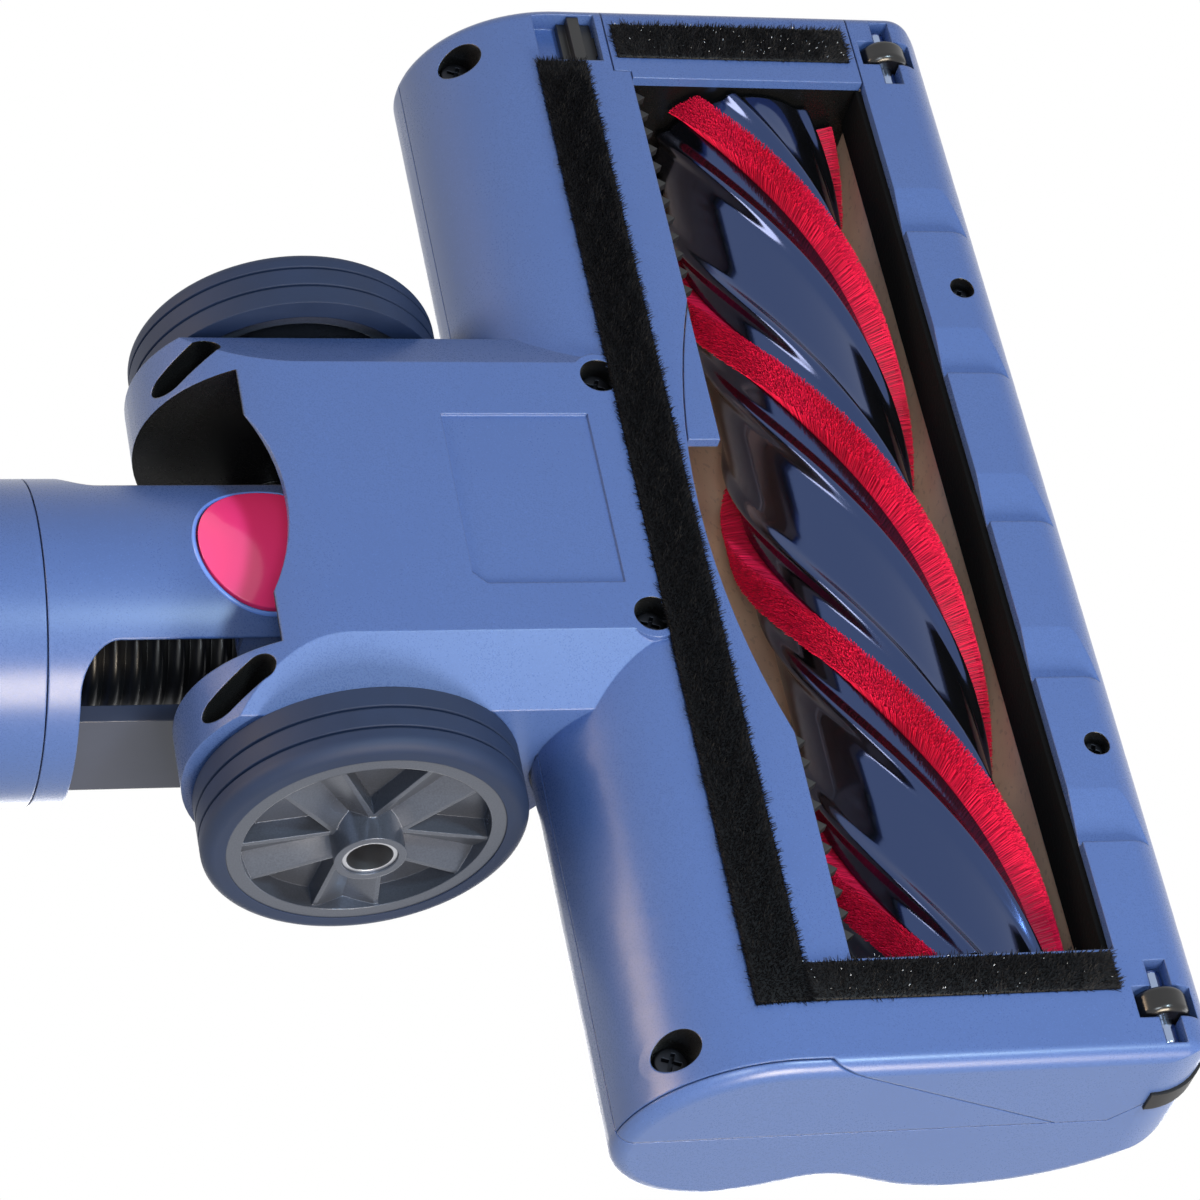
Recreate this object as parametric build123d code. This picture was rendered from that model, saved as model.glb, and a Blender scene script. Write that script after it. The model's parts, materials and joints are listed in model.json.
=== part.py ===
from build123d import *
import os
from math import asin, cos, degrees, radians, sin

# A motorised floor head for a stick vacuum cleaner, standing on its wheels.
# Millimetres. +X is the front, Y runs along the brush, +Z is up, the floor is Z = 0.
# While modelling, X = 0 is the sole's front edge; the finished pieces are moved to the part's own origin.

# Head shell
HEAD_WIDTH = 250.0
HALF_WIDTH = HEAD_WIDTH / 2
END_ROUND = 3.0
SOLE_HEIGHT = 1.5
SOLE_FRONT_X = -3.0
SOLE_REAR_X = -74.0
NOSE_X = 6.5
NOSE_HEIGHT = 18.4
FRONT_HUMP_X = -36.0
FRONT_HUMP_HEIGHT = 47.0
VALLEY_X = -61.6
VALLEY_HEIGHT = 40.4
REAR_HUMP_X = -82.0
REAR_HUMP_HEIGHT = 44.8
REAR_X = -103.0
REAR_HEIGHT = 27.0
SHELL = 2.2
PLATE_TOP = SOLE_HEIGHT + SHELL
NOSE_CORNER = 13.0
SEAM_HEIGHT = 23.7
SEAM_KNEE_X = -12.0
SEAM_GAP = 0.3
FAR = 400.0

# Bumper strip round the nose
BUMPER_HEIGHT = 17.0
BUMPER_BAND = 4.8
BUMPER_PROUD = 0.6
BUMPER_DEPTH = 1.2

# Brush window and suction throat in the sole
WINDOW_REAR_X = -61.5
WINDOW_FRONT_X = -12.1
WINDOW_CAP_MARGIN = 17.7
WINDOW_CAP_Y = WINDOW_CAP_MARGIN - HALF_WIDTH
WINDOW_DRIVE_MARGIN = 22.0
WINDOW_DRIVE_Y = HALF_WIDTH - WINDOW_DRIVE_MARGIN
THROAT_SETBACK = 7.7
THROAT_CAP_Y = -47.0
THROAT_DRIVE_Y = 55.0
LIP_END_Y = -12.5

# Front bar of the sole
BAR_TOP = 12.5
RAMP_COUNT = 5
RAMP_PITCH = 36.4
RAMP_LENGTH = 11.5
RAMP_DEPTH = 2.0
RAMP_MIDDLE_Y = 7.4
RAMP_OVERRUN = 3.0
FRONT_SCREW_X = -3.7
FRONT_SCREW_Y = (-50.7, 58.8)
FRONT_WELL_R = 2.5
FRONT_WELL_DEPTH = 5.0

# Castors at the front corners
CASTOR_R = 5.2
CASTOR_WIDTH = 5.4
CASTOR_X = -5.2
CASTOR_INSET = 11.0
CASTOR_Y = HALF_WIDTH - CASTOR_INSET
CASTOR_AXLE_R = 2.0
CASTOR_AXLE_LENGTH = 16.0
CASTOR_AXLE_ROUND = 1.2
CASTOR_ROUND = 1.35
CASTOR_ROOM = 0.5
RUNNING_GAP = 0.05

# Plush strips
PLUSH_TIP = 0.5
PLUSH_GROOVE = 1.0
PLUSH_REAR_X = -80.5
PLUSH_FRONT_X = -70.4
PLUSH_OVERRUN = 2.2
PLUSH_CAP_Y = WINDOW_CAP_Y - PLUSH_OVERRUN
SIDE_PLUSH_MARGIN = 0.5
SIDE_PLUSH_Y = WINDOW_DRIVE_Y + SIDE_PLUSH_MARGIN
SIDE_PLUSH_WIDTH = 7.7
PLUSH_DRIVE_Y = SIDE_PLUSH_Y + SIDE_PLUSH_WIDTH
SIDE_PLUSH_END_X = -13.0
CAP_PLUSH_X = (-63.3, -14.0)
CAP_PLUSH_MARGIN = 5.0
CAP_PLUSH_WIDTH = 9.0
CAP_PLUSH_Y = (CAP_PLUSH_MARGIN - HALF_WIDTH, CAP_PLUSH_MARGIN + CAP_PLUSH_WIDTH - HALF_WIDTH)
PLUSH_ROOM = 0.1

# Screw wells in the sole
WELL_R = 3.75
WELL_WALL = 1.6
CORNER_WELL_X = -94.0
CORNER_WELL_INSET = 9.3
CORNER_WELL_Y = HALF_WIDTH - CORNER_WELL_INSET
CORNER_WELL_TOP = 15.0
DUCT_WELL_X = -82.7
DUCT_WELL_Y = 28.0
DUCT_WELL_TOP = 7.5
DUCT_WELL_FLOOR = 2.0
SCREW_HEAD_R = 3.2
SCREW_HEAD = 2.4
SCREW_R = 1.5
SCREW_HOLE_GAP = 0.1
CORNER_SCREW_LENGTH = 17.0
DUCT_SCREW_LENGTH = 8.0
TOP_BOSS_R = 4.0

# Removable end cap and its latch
CAP_REAR_X = -65.0
CAP_WALL = 1.8
CAP_BOSS_R = 9.6
LATCH_X = (-79.5, -66.5)
LATCH_MARGIN = 2.5
LATCH_WIDTH = 12.5
LATCH_Y = (LATCH_MARGIN - HALF_WIDTH, LATCH_MARGIN + LATCH_WIDTH - HALF_WIDTH)
LATCH_DEPTH = 4.5
LATCH_TUB_WALL = 1.2
LATCH_BASE = 1.5
LATCH_BASE_LENGTH = 7.0
LATCH_RIB = 2.4
LATCH_RIB_DROP = 2.2
LATCH_RIB_X = -70.9
LATCH_BOLT_WIDTH = 5.0
LATCH_BOLT_LENGTH = 4.6
LATCH_PLAY = 0.3

# Belt cover on the fixed end face: a corner of it runs up to the seam
COVER_SOLE_X = -69.5
COVER_TIP_X = -21.8

# Brush
BRUSH_X = -35.2
BRUSH_HEIGHT = 21.4
BRUSH_R = 21.0
CORE_R = 16.6
RIDGE_HEIGHT = 1.5
RIDGE_ANGLE = 30.0
RIDGE_HALF_ANGLE = 9.0
CHANNEL_R = 14.4
STRIP_COUNT = 3
STRIP_BASE_HALF = 3.0
STRIP_TIP_HALF = 3.8
STRIP_PITCH = 201.0
STRIP_START = 15.5
STRIP_GAP = 0.05
BRUSH_CAP_GAP = 3.3
BRUSH_CAP_Y = WINDOW_CAP_Y + BRUSH_CAP_GAP
BRUSH_DRIVE_GAP = 1.5
BRUSH_DRIVE_Y = WINDOW_DRIVE_Y - BRUSH_DRIVE_GAP
JOURNAL_R = 4.0
CAP_JOURNAL_REACH = 9.7
CAP_JOURNAL_END_Y = WINDOW_CAP_Y - CAP_JOURNAL_REACH
BEARING_WALL = 4.0
BEARING_WIDTH = 5.0
TUNNEL_ROOM = 1.0
TUNNEL_WALL = 1.3

# Soft liner in front of the brush and combs behind it
LINER = 1.2
LINER_TOP = 14.5
COMB_BASE = 0.8
COMB_REACH = 1.8
COMB_PITCH = 4.6
COMB_TOOTH = 1.0
COMB_HEIGHT = 1.8
COMB_MARGIN = 1.0

# Belt drive at the fixed end
BRACKET_GAP = 0.5
BRACKET_Y = WINDOW_DRIVE_Y + BRACKET_GAP
BRACKET_THICKNESS = 2.5
DUCT_MOUTH_Y = (-44.0, 52.0)
MOTOR_X = -80.0
MOTOR_HEIGHT = 22.5
MOTOR_R = 14.0
MOTOR_END_GAP = 2.0
MOTOR_Y = (DUCT_MOUTH_Y[1] + MOTOR_END_GAP, BRACKET_Y - MOTOR_END_GAP)
MOTOR_NECK_R = 4.9
MOTOR_TERMINAL_R = 10.0
MOTOR_TERMINAL = 3.0
MOTOR_SHAFT_R = 1.6
MOTOR_SHAFT_SOCKET = 11.5
MOTOR_SHAFT_START_Y = MOTOR_Y[1] - MOTOR_SHAFT_SOCKET
PULLEY_WIDTH = 8.0
PULLEY_Y = (BRACKET_Y + BEARING_WIDTH, BRACKET_Y + BEARING_WIDTH + PULLEY_WIDTH)
PULLEY_FLANGE = 1.0
PULLEY_FLANGE_PROUD = 1.6
MOTOR_PULLEY_R = 5.0
BRUSH_PULLEY_R = 12.0
BELT_THICKNESS = 1.2
BELT_GAP = 0.3
MOTOR_RIB_INSET = (6.0, 13.5)
MOTOR_RIB_Y = (MOTOR_Y[0] + MOTOR_RIB_INSET[0], MOTOR_Y[1] - MOTOR_RIB_INSET[1])
RIB = 2.0

# Circuit board
BOARD_X = (-95.0, -71.0)
BOARD_LENGTH = 52.0
BOARD_Y = (DUCT_MOUTH_Y[0] - BOARD_LENGTH, DUCT_MOUTH_Y[0])
BOARD_BOTTOM = 14.0
BOARD_THICKNESS = 1.6
BOARD_RIB_INSET = 9.0
BOARD_RIB_Y = (BOARD_Y[0] + BOARD_RIB_INSET, BOARD_Y[1] - BOARD_RIB_INSET)
CAPACITOR_R = 4.0
CAPACITOR_HEIGHT = 9.0
CAPACITOR_COUNT = 3
CAPACITOR_PITCH = 12.0

# Suction duct, from the throat to the hose
DUCT_WALL = 1.4
DUCT_MOUTH_X = -63.2
DUCT_MOUTH_Z = (4.2, 21.0)
DUCT_WAIST_X = -79.0
DUCT_WAIST_HALF = 32.5
DUCT_WAIST_Z = (14.5, 36.0)
DUCT_END_X = -86.0
DUCT_END_HALF = 16.0
DUCT_END_Z = (10.0, 40.0)
SPIGOT_R = 12.3
SPIGOT_BORE_R = 11.1
SPIGOT_LENGTH = 27.0
INLET_HEIGHT = 25.0
INLET_ANGLE = 30.0
DUCT_FOOT_R = 4.0

# Yoke
PIVOT_X = -137.0
PIVOT_HEIGHT = 46.5
YOKE_INNER = 31.2
YOKE_OUTER = 43.5
YOKE_FLAT_REAR_X = -140.0
YOKE_REAR_X = -168.0
YOKE_SHOULDER_HEIGHT = 27.0
YOKE_RISE = 11.0
YOKE_TOP = PIVOT_HEIGHT + YOKE_RISE
YOKE_FRONT_X = -95.0
YOKE_PLATE = 2.5
YOKE_SLOPE = 8.0
NOTCH_X = -147.0
NOTCH_CORNER_X = -160.0
LABEL_X = (-115.3, -86.8)
LABEL_Y = (-18.7, 20.7)
LABEL_DEPTH = 0.6
LABEL_CORNER = 2.5
SLOT_X = -159.5
SLOT_Y = 37.2
SLOT_LENGTH = 13.0
SLOT_WIDTH = 5.2
SLOT_SLANT = 30.0
SLOT_TOP = 24.0

# Wheels
WHEEL_X = -135.6
WHEEL_R = 30.0
TYRE_Y = (44.4, 57.2)
TYRE_BORE_R = 25.6
TYRE_GROOVE = 0.7
TYRE_SHOULDER = 2.4
HUB_RIM_Y = (45.2, 57.0)
HUB_RIM_R = 22.8
HUB_WEB_Y = (50.2, 52.4)
HUB_SPOKE_Y = 56.4
HUB_SPOKES = 5
SPOKE_ROOT = 8.0
SPOKE_TIP = 13.0
SPOKE_VEE = 2.4
SPOKE_EDGE = 1.0
BOSS_R = 6.6
BOSS_Y = (44.0, 61.0)
AXLE_R = 5.1
AXLE_BORE_R = 4.3
AXLE_Y = (33.0, 60.6)

# Neck
PIN_R = 4.0
PIN_Y = (22.0, 40.0)
PIVOT_BOSS_R = 9.0
BOSS_PLAY = 0.3
NECK_R = 30.6
NECK_WALL = 2.4
NECK_CUT_X = -184.0
NECK_REAR_X = -190.0
TONGUE_ANGLE = 35.5
TONGUE_FRONT_X = -131.0
WINDOW_CORNER = 7.0
BAR_Y = (22.4, 26.0)
BAR_HALF = 11.0
BULKHEAD = 3.0
HOSE_SPIGOT_LENGTH = 9.0

# Release button
BUTTON_X = -148.0
BUTTON_R = 13.3
BUTTON_GAP = 0.3
BUTTON_PROUD = 0.5
BUTTON_THICKNESS = 4.0
BUTTON_LIP = 1.3
BUTTON_TRAVEL = 3.0
BUTTON_POST_R = 3.0
BRIDGE_DROP = 18.5
BRIDGE_THICKNESS = 1.4
BRIDGE_Z = (PIVOT_HEIGHT - BRIDGE_DROP, PIVOT_HEIGHT - BRIDGE_DROP + BRIDGE_THICKNESS)
BRIDGE_HALF = 6.0
BRIDGE_LEG = 1.8
SPRING_R = 4.6
SPRING_WIRE = 0.9
SPRING_TURNS = 3

# Suction hose
HOSE_R = 15.25
HOSE_BASE_R = 13.7
HOSE_BORE_R = 12.4
HOSE_START = 20.0
HOSE_BEND = 28.0
HOSE_END_X = -186.6
RING_PITCH = 4.0
RING_WIDTH = 2.0

# Swivel collar behind the neck
COLLAR_REAR_X = -226.0
COLLAR_SPIGOT_R = 25.0
COLLAR_SPIGOT_WALL = 2.5
COLLAR_SPIGOT_LENGTH = 10.0
WAND_BORE_R = 18.5
WAND_BORE_LENGTH = 24.0

WHEEL_HEIGHT = WHEEL_R
CORE_TURN = -360.0 * (BRUSH_DRIVE_Y - BRUSH_CAP_Y) / STRIP_PITCH
ORIGIN_X = (NOSE_X + BUMPER_PROUD + COLLAR_REAR_X) / 2


def block(x, y, z):
    """Box between two values on each axis."""
    middle = Pos((x[0] + x[1]) / 2, (y[0] + y[1]) / 2, (z[0] + z[1]) / 2)
    return middle * Box(x[1] - x[0], y[1] - y[0], z[1] - z[0])


def rod_x(y, z, radius, x):
    """Cylinder along X between two values of X."""
    return Pos((x[0] + x[1]) / 2, y, z) * Rot(Y=90) * Cylinder(radius, x[1] - x[0])


def rod_y(x, z, radius, y):
    """Cylinder along Y between two values of Y."""
    return Pos(x, (y[0] + y[1]) / 2, z) * Rot(X=90) * Cylinder(radius, y[1] - y[0])


def rod_z(x, y, radius, z):
    """Cylinder along Z between two values of Z."""
    return Pos(x, y, (z[0] + z[1]) / 2) * Cylinder(radius, z[1] - z[0])


def prism_y(outline, y):
    """Outline drawn in X and Z, extruded between two values of Y."""
    return Pos(0, y[1], 0) * extrude(Plane.XZ * outline, amount=y[1] - y[0])


def prism_z(outline, z):
    """Outline drawn in X and Y, extruded between two values of Z."""
    return Pos(0, 0, z[0]) * extrude(outline, amount=z[1] - z[0])


def polygon(*points):
    """Face with straight sides through the points."""
    return make_face(Polyline(*points, close=True))


def both_sides(y):
    """The two spans at plus and minus y, each as (side, low, high)."""
    return [(1, y[0], y[1]), (-1, -y[1], -y[0])]


# Head shell

def head_outline(inset):
    """Side view of the head: flat sole, rounded nose, a hump over the brush and one over the motor."""
    nose = NOSE_X - inset
    front_low = EllipticalCenterArc(
        (SOLE_FRONT_X, NOSE_HEIGHT), nose - SOLE_FRONT_X, NOSE_HEIGHT - SOLE_HEIGHT - inset, 270, arc_size=90)
    front_high = EllipticalCenterArc(
        (FRONT_HUMP_X, NOSE_HEIGHT), nose - FRONT_HUMP_X, FRONT_HUMP_HEIGHT - NOSE_HEIGHT - inset,
        0, arc_size=90)
    roof = Spline(
        (FRONT_HUMP_X, FRONT_HUMP_HEIGHT - inset),
        (VALLEY_X, VALLEY_HEIGHT - inset),
        (REAR_HUMP_X, REAR_HUMP_HEIGHT - inset),
        tangents=((-1, 0), (-1, 0)))
    rear_high = EllipticalCenterArc(
        (REAR_HUMP_X, REAR_HEIGHT), REAR_HUMP_X - REAR_X - inset, REAR_HUMP_HEIGHT - REAR_HEIGHT - inset,
        90, arc_size=90)
    rear_low = EllipticalCenterArc(
        (SOLE_REAR_X, REAR_HEIGHT), SOLE_REAR_X - REAR_X - inset, REAR_HEIGHT - SOLE_HEIGHT - inset,
        180, arc_size=90)
    sole = Line((SOLE_REAR_X, SOLE_HEIGHT + inset), (SOLE_FRONT_X, SOLE_HEIGHT + inset))
    return make_face([front_low, front_high, roof, rear_high, rear_low, sole])


def head_plan(inset):
    """Plan of the head, with its two front corners rounded."""
    half = HALF_WIDTH - inset
    corners = polygon((REAR_X, -half), (NOSE_X - inset, -half), (NOSE_X - inset, half), (REAR_X, half))
    return fillet(corners.vertices().sort_by(Axis.X)[-2:], NOSE_CORNER - inset)


def head_block(inset):
    """Solid head, `inset` inside the outer skin."""
    half = HALF_WIDTH - inset
    body = prism_y(head_outline(inset), (-half, half))
    ends = body.faces().sort_by(Axis.Y)
    body = fillet(ends[0].edges() + ends[-1].edges(), END_ROUND - inset)
    return body & prism_z(head_plan(inset), (-FAR, FAR))


def seam_side(shift):
    """Space under the seam between sole housing and top shell; the seam drops to the bumper at the nose."""
    high = SEAM_HEIGHT + shift
    low = BUMPER_HEIGHT + shift
    nose_x = SEAM_KNEE_X + SEAM_HEIGHT - BUMPER_HEIGHT
    outline = polygon(
        (-FAR, -FAR), (-FAR, high), (SEAM_KNEE_X, high), (nose_x, low), (FAR, low), (FAR, -FAR))
    return prism_y(outline, (-FAR, FAR))


OUTER = head_block(0.0)
INNER = head_block(SHELL)
SHELL_LOW = (OUTER - INNER) & seam_side(-SEAM_GAP / 2)
SHELL_HIGH = (OUTER - INNER) - seam_side(SEAM_GAP / 2)


def bumper_band(proud, depth, half_band):
    """Ring round the nose, from `proud` outside the skin to `depth` inside it."""
    ring = head_block(-proud) - head_block(depth)
    span = (BUMPER_HEIGHT - half_band, BUMPER_HEIGHT + half_band)
    return ring & block((NOSE_X - NOSE_CORNER, FAR), (-FAR, FAR), span)


BUMPER_GROOVE = bumper_band(BUMPER_PROUD, BUMPER_DEPTH + PLUSH_ROOM, BUMPER_BAND / 2 + PLUSH_ROOM)


def cover_outline(gap):
    """Side view of the belt cover: under the seam and behind the slanted joint with the sole's end."""
    corners = polygon(
        (-FAR, -FAR), (COVER_SOLE_X, -FAR), (COVER_SOLE_X, SOLE_HEIGHT), (COVER_TIP_X, SEAM_HEIGHT),
        (-FAR, SEAM_HEIGHT))
    return offset(corners, gap, kind=Kind.INTERSECTION)


def belt_cover():
    return OUTER & prism_y(cover_outline(-SEAM_GAP / 2), (HALF_WIDTH - SHELL, HALF_WIDTH))


def throat_outline():
    """Plan of the throat: the rear lip set back in one long arc."""
    middle = (THROAT_CAP_Y + THROAT_DRIVE_Y) / 2
    first = (WINDOW_REAR_X, THROAT_CAP_Y)
    last = (WINDOW_REAR_X, THROAT_DRIVE_Y)
    arc = ThreePointArc(first, (WINDOW_REAR_X - THROAT_SETBACK, middle), last)
    return make_face([arc, Line(last, first)])


def throat_lip():
    """Insert that fills the cap end of the throat, flush with the sole."""
    fill = offset(throat_outline(), -SEAM_GAP, kind=Kind.INTERSECTION)
    keep = block((-FAR, FAR), (-FAR, LIP_END_Y), (SOLE_HEIGHT, PLATE_TOP))
    return prism_z(fill, (SOLE_HEIGHT, PLATE_TOP)) & keep


def ramp_cuts():
    """Row of wedges sunk into the front bar, each ending in a sharp step."""
    cuts = Part()
    for number in range(RAMP_COUNT):
        step = RAMP_MIDDLE_Y + (number - (RAMP_COUNT - 1) / 2) * RAMP_PITCH
        wedge = polygon(
            (step - RAMP_LENGTH, 0), (step - RAMP_LENGTH, SOLE_HEIGHT), (step, SOLE_HEIGHT + RAMP_DEPTH),
            (step, 0))
        length = RAMP_OVERRUN - WINDOW_FRONT_X
        cuts += Pos(WINDOW_FRONT_X, 0, 0) * extrude(Plane.YZ * wedge, amount=length)
    return cuts


def castor_cuts(side):
    """Pocket for a castor wheel and the trough that its axle snaps into."""
    y = side * CASTOR_Y
    half = CASTOR_WIDTH / 2 + CASTOR_ROOM
    pocket = block(
        (CASTOR_X - CASTOR_R - CASTOR_ROOM, CASTOR_X + CASTOR_R + CASTOR_ROOM), (y - half, y + half),
        (-FAR, CASTOR_R * 2 + CASTOR_ROOM))
    reach = CASTOR_AXLE_LENGTH / 2 + CASTOR_ROOM
    trough_r = CASTOR_AXLE_R + RUNNING_GAP
    trough = block((CASTOR_X - trough_r, CASTOR_X + trough_r), (y - reach, y + reach), (-FAR, CASTOR_R))
    return pocket + trough + rod_y(CASTOR_X, CASTOR_R, trough_r, (y - reach, y + reach))


def front_bar():
    """Bar in front of the brush window, with ramps, castor places and two screw wells."""
    bar = block(
        (WINDOW_FRONT_X + TUNNEL_WALL + SEAM_GAP, NOSE_X), (-HALF_WIDTH, HALF_WIDTH), (SOLE_HEIGHT, BAR_TOP))
    return bar & OUTER


def well_boss(x, y, top):
    """Tube inside the sole round a screw well."""
    return rod_z(x, y, WELL_R + WELL_WALL, (SOLE_HEIGHT, top))


def well_cut(x, y, seat, top):
    """Screw well up to the seat of the screw's head, and the screw's hole above it."""
    return rod_z(x, y, WELL_R, (-FAR, seat)) + rod_z(x, y, SCREW_R + SCREW_HOLE_GAP, (seat, top))


def screw(x, y, seat, length, head_r):
    """Pan-head screw pointing up, its head against the seat."""
    return rod_z(x, y, head_r, (seat - SCREW_HEAD, seat)) + rod_z(x, y, SCREW_R, (seat, seat + length))


CORNER_WELLS = [(CORNER_WELL_X, -CORNER_WELL_Y), (CORNER_WELL_X, CORNER_WELL_Y)]
DUCT_WELLS = [(DUCT_WELL_X, -DUCT_WELL_Y), (DUCT_WELL_X, DUCT_WELL_Y)]
FRONT_SEAT = SOLE_HEIGHT + FRONT_WELL_DEPTH
LATCH_FLOOR = SOLE_HEIGHT + LATCH_DEPTH
LATCH_MIDDLE_Y = (LATCH_Y[0] + LATCH_Y[1]) / 2


def latch_slot(gap):
    """Space of the latch bolt, from the recess into the end cap."""
    half = LATCH_BOLT_WIDTH / 2 + gap
    low = LATCH_FLOOR - LATCH_PLAY - LATCH_BASE
    end = LATCH_X[1] - LATCH_PLAY + LATCH_BOLT_LENGTH
    return block(
        (LATCH_X[1] - LATCH_PLAY, end + gap), (LATCH_MIDDLE_Y - half, LATCH_MIDDLE_Y + half),
        (low - gap, low + LATCH_BASE + gap))


def latch_tub():
    """Walls round the latch recess."""
    wall = LATCH_TUB_WALL
    return block(
        (LATCH_X[0] - wall, LATCH_X[1] + wall), (LATCH_Y[0] - wall, LATCH_Y[1] + wall),
        (SOLE_HEIGHT, LATCH_FLOOR + wall)) & OUTER


def latch_slider():
    """Finger rib on a sliding base, with the bolt that locks the end cap."""
    base_top = LATCH_FLOOR - LATCH_PLAY
    base_low = base_top - LATCH_BASE
    front = LATCH_X[1] - LATCH_PLAY
    y = (LATCH_Y[0] + LATCH_PLAY, LATCH_Y[1] - LATCH_PLAY)
    base = block((front - LATCH_BASE_LENGTH, front), y, (base_low, base_top))
    rib = block(
        (LATCH_RIB_X - LATCH_RIB / 2, LATCH_RIB_X + LATCH_RIB / 2), y, (base_low - LATCH_RIB_DROP, base_low))
    return base + rib + latch_slot(0.0)


# Yoke

def arm_outline():
    """Side view of a yoke arm: flat under the sole, rounded tail, highest over the pivot."""
    tail_low = EllipticalCenterArc(
        (YOKE_FLAT_REAR_X, YOKE_SHOULDER_HEIGHT), YOKE_FLAT_REAR_X - YOKE_REAR_X,
        YOKE_SHOULDER_HEIGHT - SOLE_HEIGHT, 180, arc_size=90)
    crown = YOKE_TOP - YOKE_SHOULDER_HEIGHT
    tail_high = EllipticalCenterArc(
        (PIVOT_X, YOKE_SHOULDER_HEIGHT), PIVOT_X - YOKE_REAR_X, crown, 90, arc_size=90)
    front_high = EllipticalCenterArc(
        (PIVOT_X, YOKE_SHOULDER_HEIGHT), YOKE_FRONT_X - PIVOT_X, crown, 0, arc_size=90)
    front = Polyline(
        (YOKE_FRONT_X, YOKE_SHOULDER_HEIGHT), (SOLE_REAR_X, YOKE_SHOULDER_HEIGHT), (SOLE_REAR_X, SOLE_HEIGHT),
        (YOKE_FLAT_REAR_X, SOLE_HEIGHT))
    return make_face([tail_low, tail_high, front_high, front])


def slope_cut(side):
    """Wedge off the lower outer edge of an arm, from the flat of the sole outwards."""
    edge = polygon(
        (side * YOKE_INNER, SOLE_HEIGHT), (side * FAR, SOLE_HEIGHT + YOKE_SLOPE * (FAR - YOKE_INNER)
                                           / (YOKE_OUTER - YOKE_INNER)), (side * FAR, SOLE_HEIGHT))
    return Pos(-FAR, 0, 0) * extrude(Plane.YZ * edge, amount=FAR)


def notch_outline():
    """Plan of the gap behind the yoke's plate, where the neck comes out."""
    first = (NOTCH_CORNER_X, -YOKE_INNER)
    last = (NOTCH_CORNER_X, YOKE_INNER)
    arc = ThreePointArc(first, (NOTCH_X, 0), last)
    sides = Polyline(last, (-FAR, YOKE_INNER), (-FAR, -YOKE_INNER), first)
    return make_face([arc, sides])


def arm_slot(side):
    """Slanted blind slot in the underside of an arm's tail."""
    slot = SlotOverall(SLOT_LENGTH, SLOT_WIDTH)
    placed = Pos(SLOT_X, side * SLOT_Y) * Rot(Z=-SLOT_SLANT) * slot
    return prism_z(placed, (-FAR, SLOT_TOP))


def yoke_arms():
    """Both arms over their full height, with the pivot bosses on their inner faces."""
    arms = prism_y(arm_outline(), (-YOKE_OUTER, YOKE_OUTER))
    room = block((-FAR, SOLE_REAR_X), (-YOKE_INNER, YOKE_INNER), (SOLE_HEIGHT + YOKE_PLATE, FAR)) - OUTER
    arms -= room
    arms -= prism_z(notch_outline(), (-FAR, FAR))
    boss_start = BAR_Y[1] + BOSS_PLAY
    for side, low, high in both_sides((boss_start, YOKE_INNER)):
        arms -= slope_cut(side)
        arms += rod_y(PIVOT_X, PIVOT_HEIGHT, PIVOT_BOSS_R, (low, high))
        arms -= arm_slot(side)
    for side, low, high in both_sides(PIN_Y):
        arms -= rod_y(PIVOT_X, PIVOT_HEIGHT, PIN_R, (low, high))
    for side, low, high in both_sides((AXLE_Y[0], YOKE_OUTER)):
        arms -= rod_y(WHEEL_X, WHEEL_HEIGHT, AXLE_R, (low, high))
    return arms


YOKE = yoke_arms()


def yoke_cap(side):
    """Upper half of an arm, over the pivot pin."""
    spans = {1: (0, FAR), -1: (-FAR, 0)}
    above = block((-FAR, FAR), spans[side], (PIVOT_HEIGHT, FAR))
    return YOKE & above


# Sole housing

def cap_room():
    """Space that the removable end cap takes out of the sole and the end wall."""
    return block((CAP_REAR_X, WINDOW_FRONT_X), (-FAR, WINDOW_CAP_Y), (-FAR, FAR))


def plush_grooves():
    """Shallow grooves for the plush strips on the sole."""
    top = SOLE_HEIGHT + PLUSH_GROOVE + PLUSH_ROOM
    rear = block(
        (PLUSH_REAR_X - PLUSH_ROOM, PLUSH_FRONT_X + PLUSH_ROOM),
        (PLUSH_CAP_Y - PLUSH_ROOM, PLUSH_DRIVE_Y + PLUSH_ROOM), (-FAR, top))
    side = block(
        (PLUSH_FRONT_X, SIDE_PLUSH_END_X + PLUSH_ROOM),
        (SIDE_PLUSH_Y - PLUSH_ROOM, PLUSH_DRIVE_Y + PLUSH_ROOM), (-FAR, top))
    return rear + side


def motor_rib(y):
    """Cradle under the motor."""
    x = (MOTOR_X - MOTOR_R, MOTOR_X + MOTOR_R)
    rib = block(x, (y - RIB / 2, y + RIB / 2), (SOLE_HEIGHT, MOTOR_HEIGHT))
    return (rib & OUTER) - rod_y(MOTOR_X, MOTOR_HEIGHT, MOTOR_R, (-FAR, FAR))


def board_rib(y):
    """Rib under the circuit board."""
    return block(BOARD_X, (y - RIB / 2, y + RIB / 2), (SOLE_HEIGHT, BOARD_BOTTOM)) & OUTER


def label_recess():
    """Shallow recess in the flat of the yoke, one corner cut off."""
    x, y = LABEL_X, LABEL_Y
    plate = polygon(
        (x[0], y[0]), (x[1], y[0]), (x[1], y[1]), (x[0] + LABEL_CORNER, y[1]), (x[0], y[1] - LABEL_CORNER))
    return prism_z(plate, (-FAR, SOLE_HEIGHT + LABEL_DEPTH))


def inlet_rod(radius, start, end):
    """Cylinder along the sloping inlet, between two distances from the duct's end."""
    placed = Pos(DUCT_END_X, 0, INLET_HEIGHT) * Rot(Y=INLET_ANGLE - 90)
    return placed * Pos(Z=(start + end) / 2) * Cylinder(radius, end - start)


INLET_HOLE = inlet_rod(SPIGOT_R + SEAM_GAP, 0, FAR)


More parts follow.
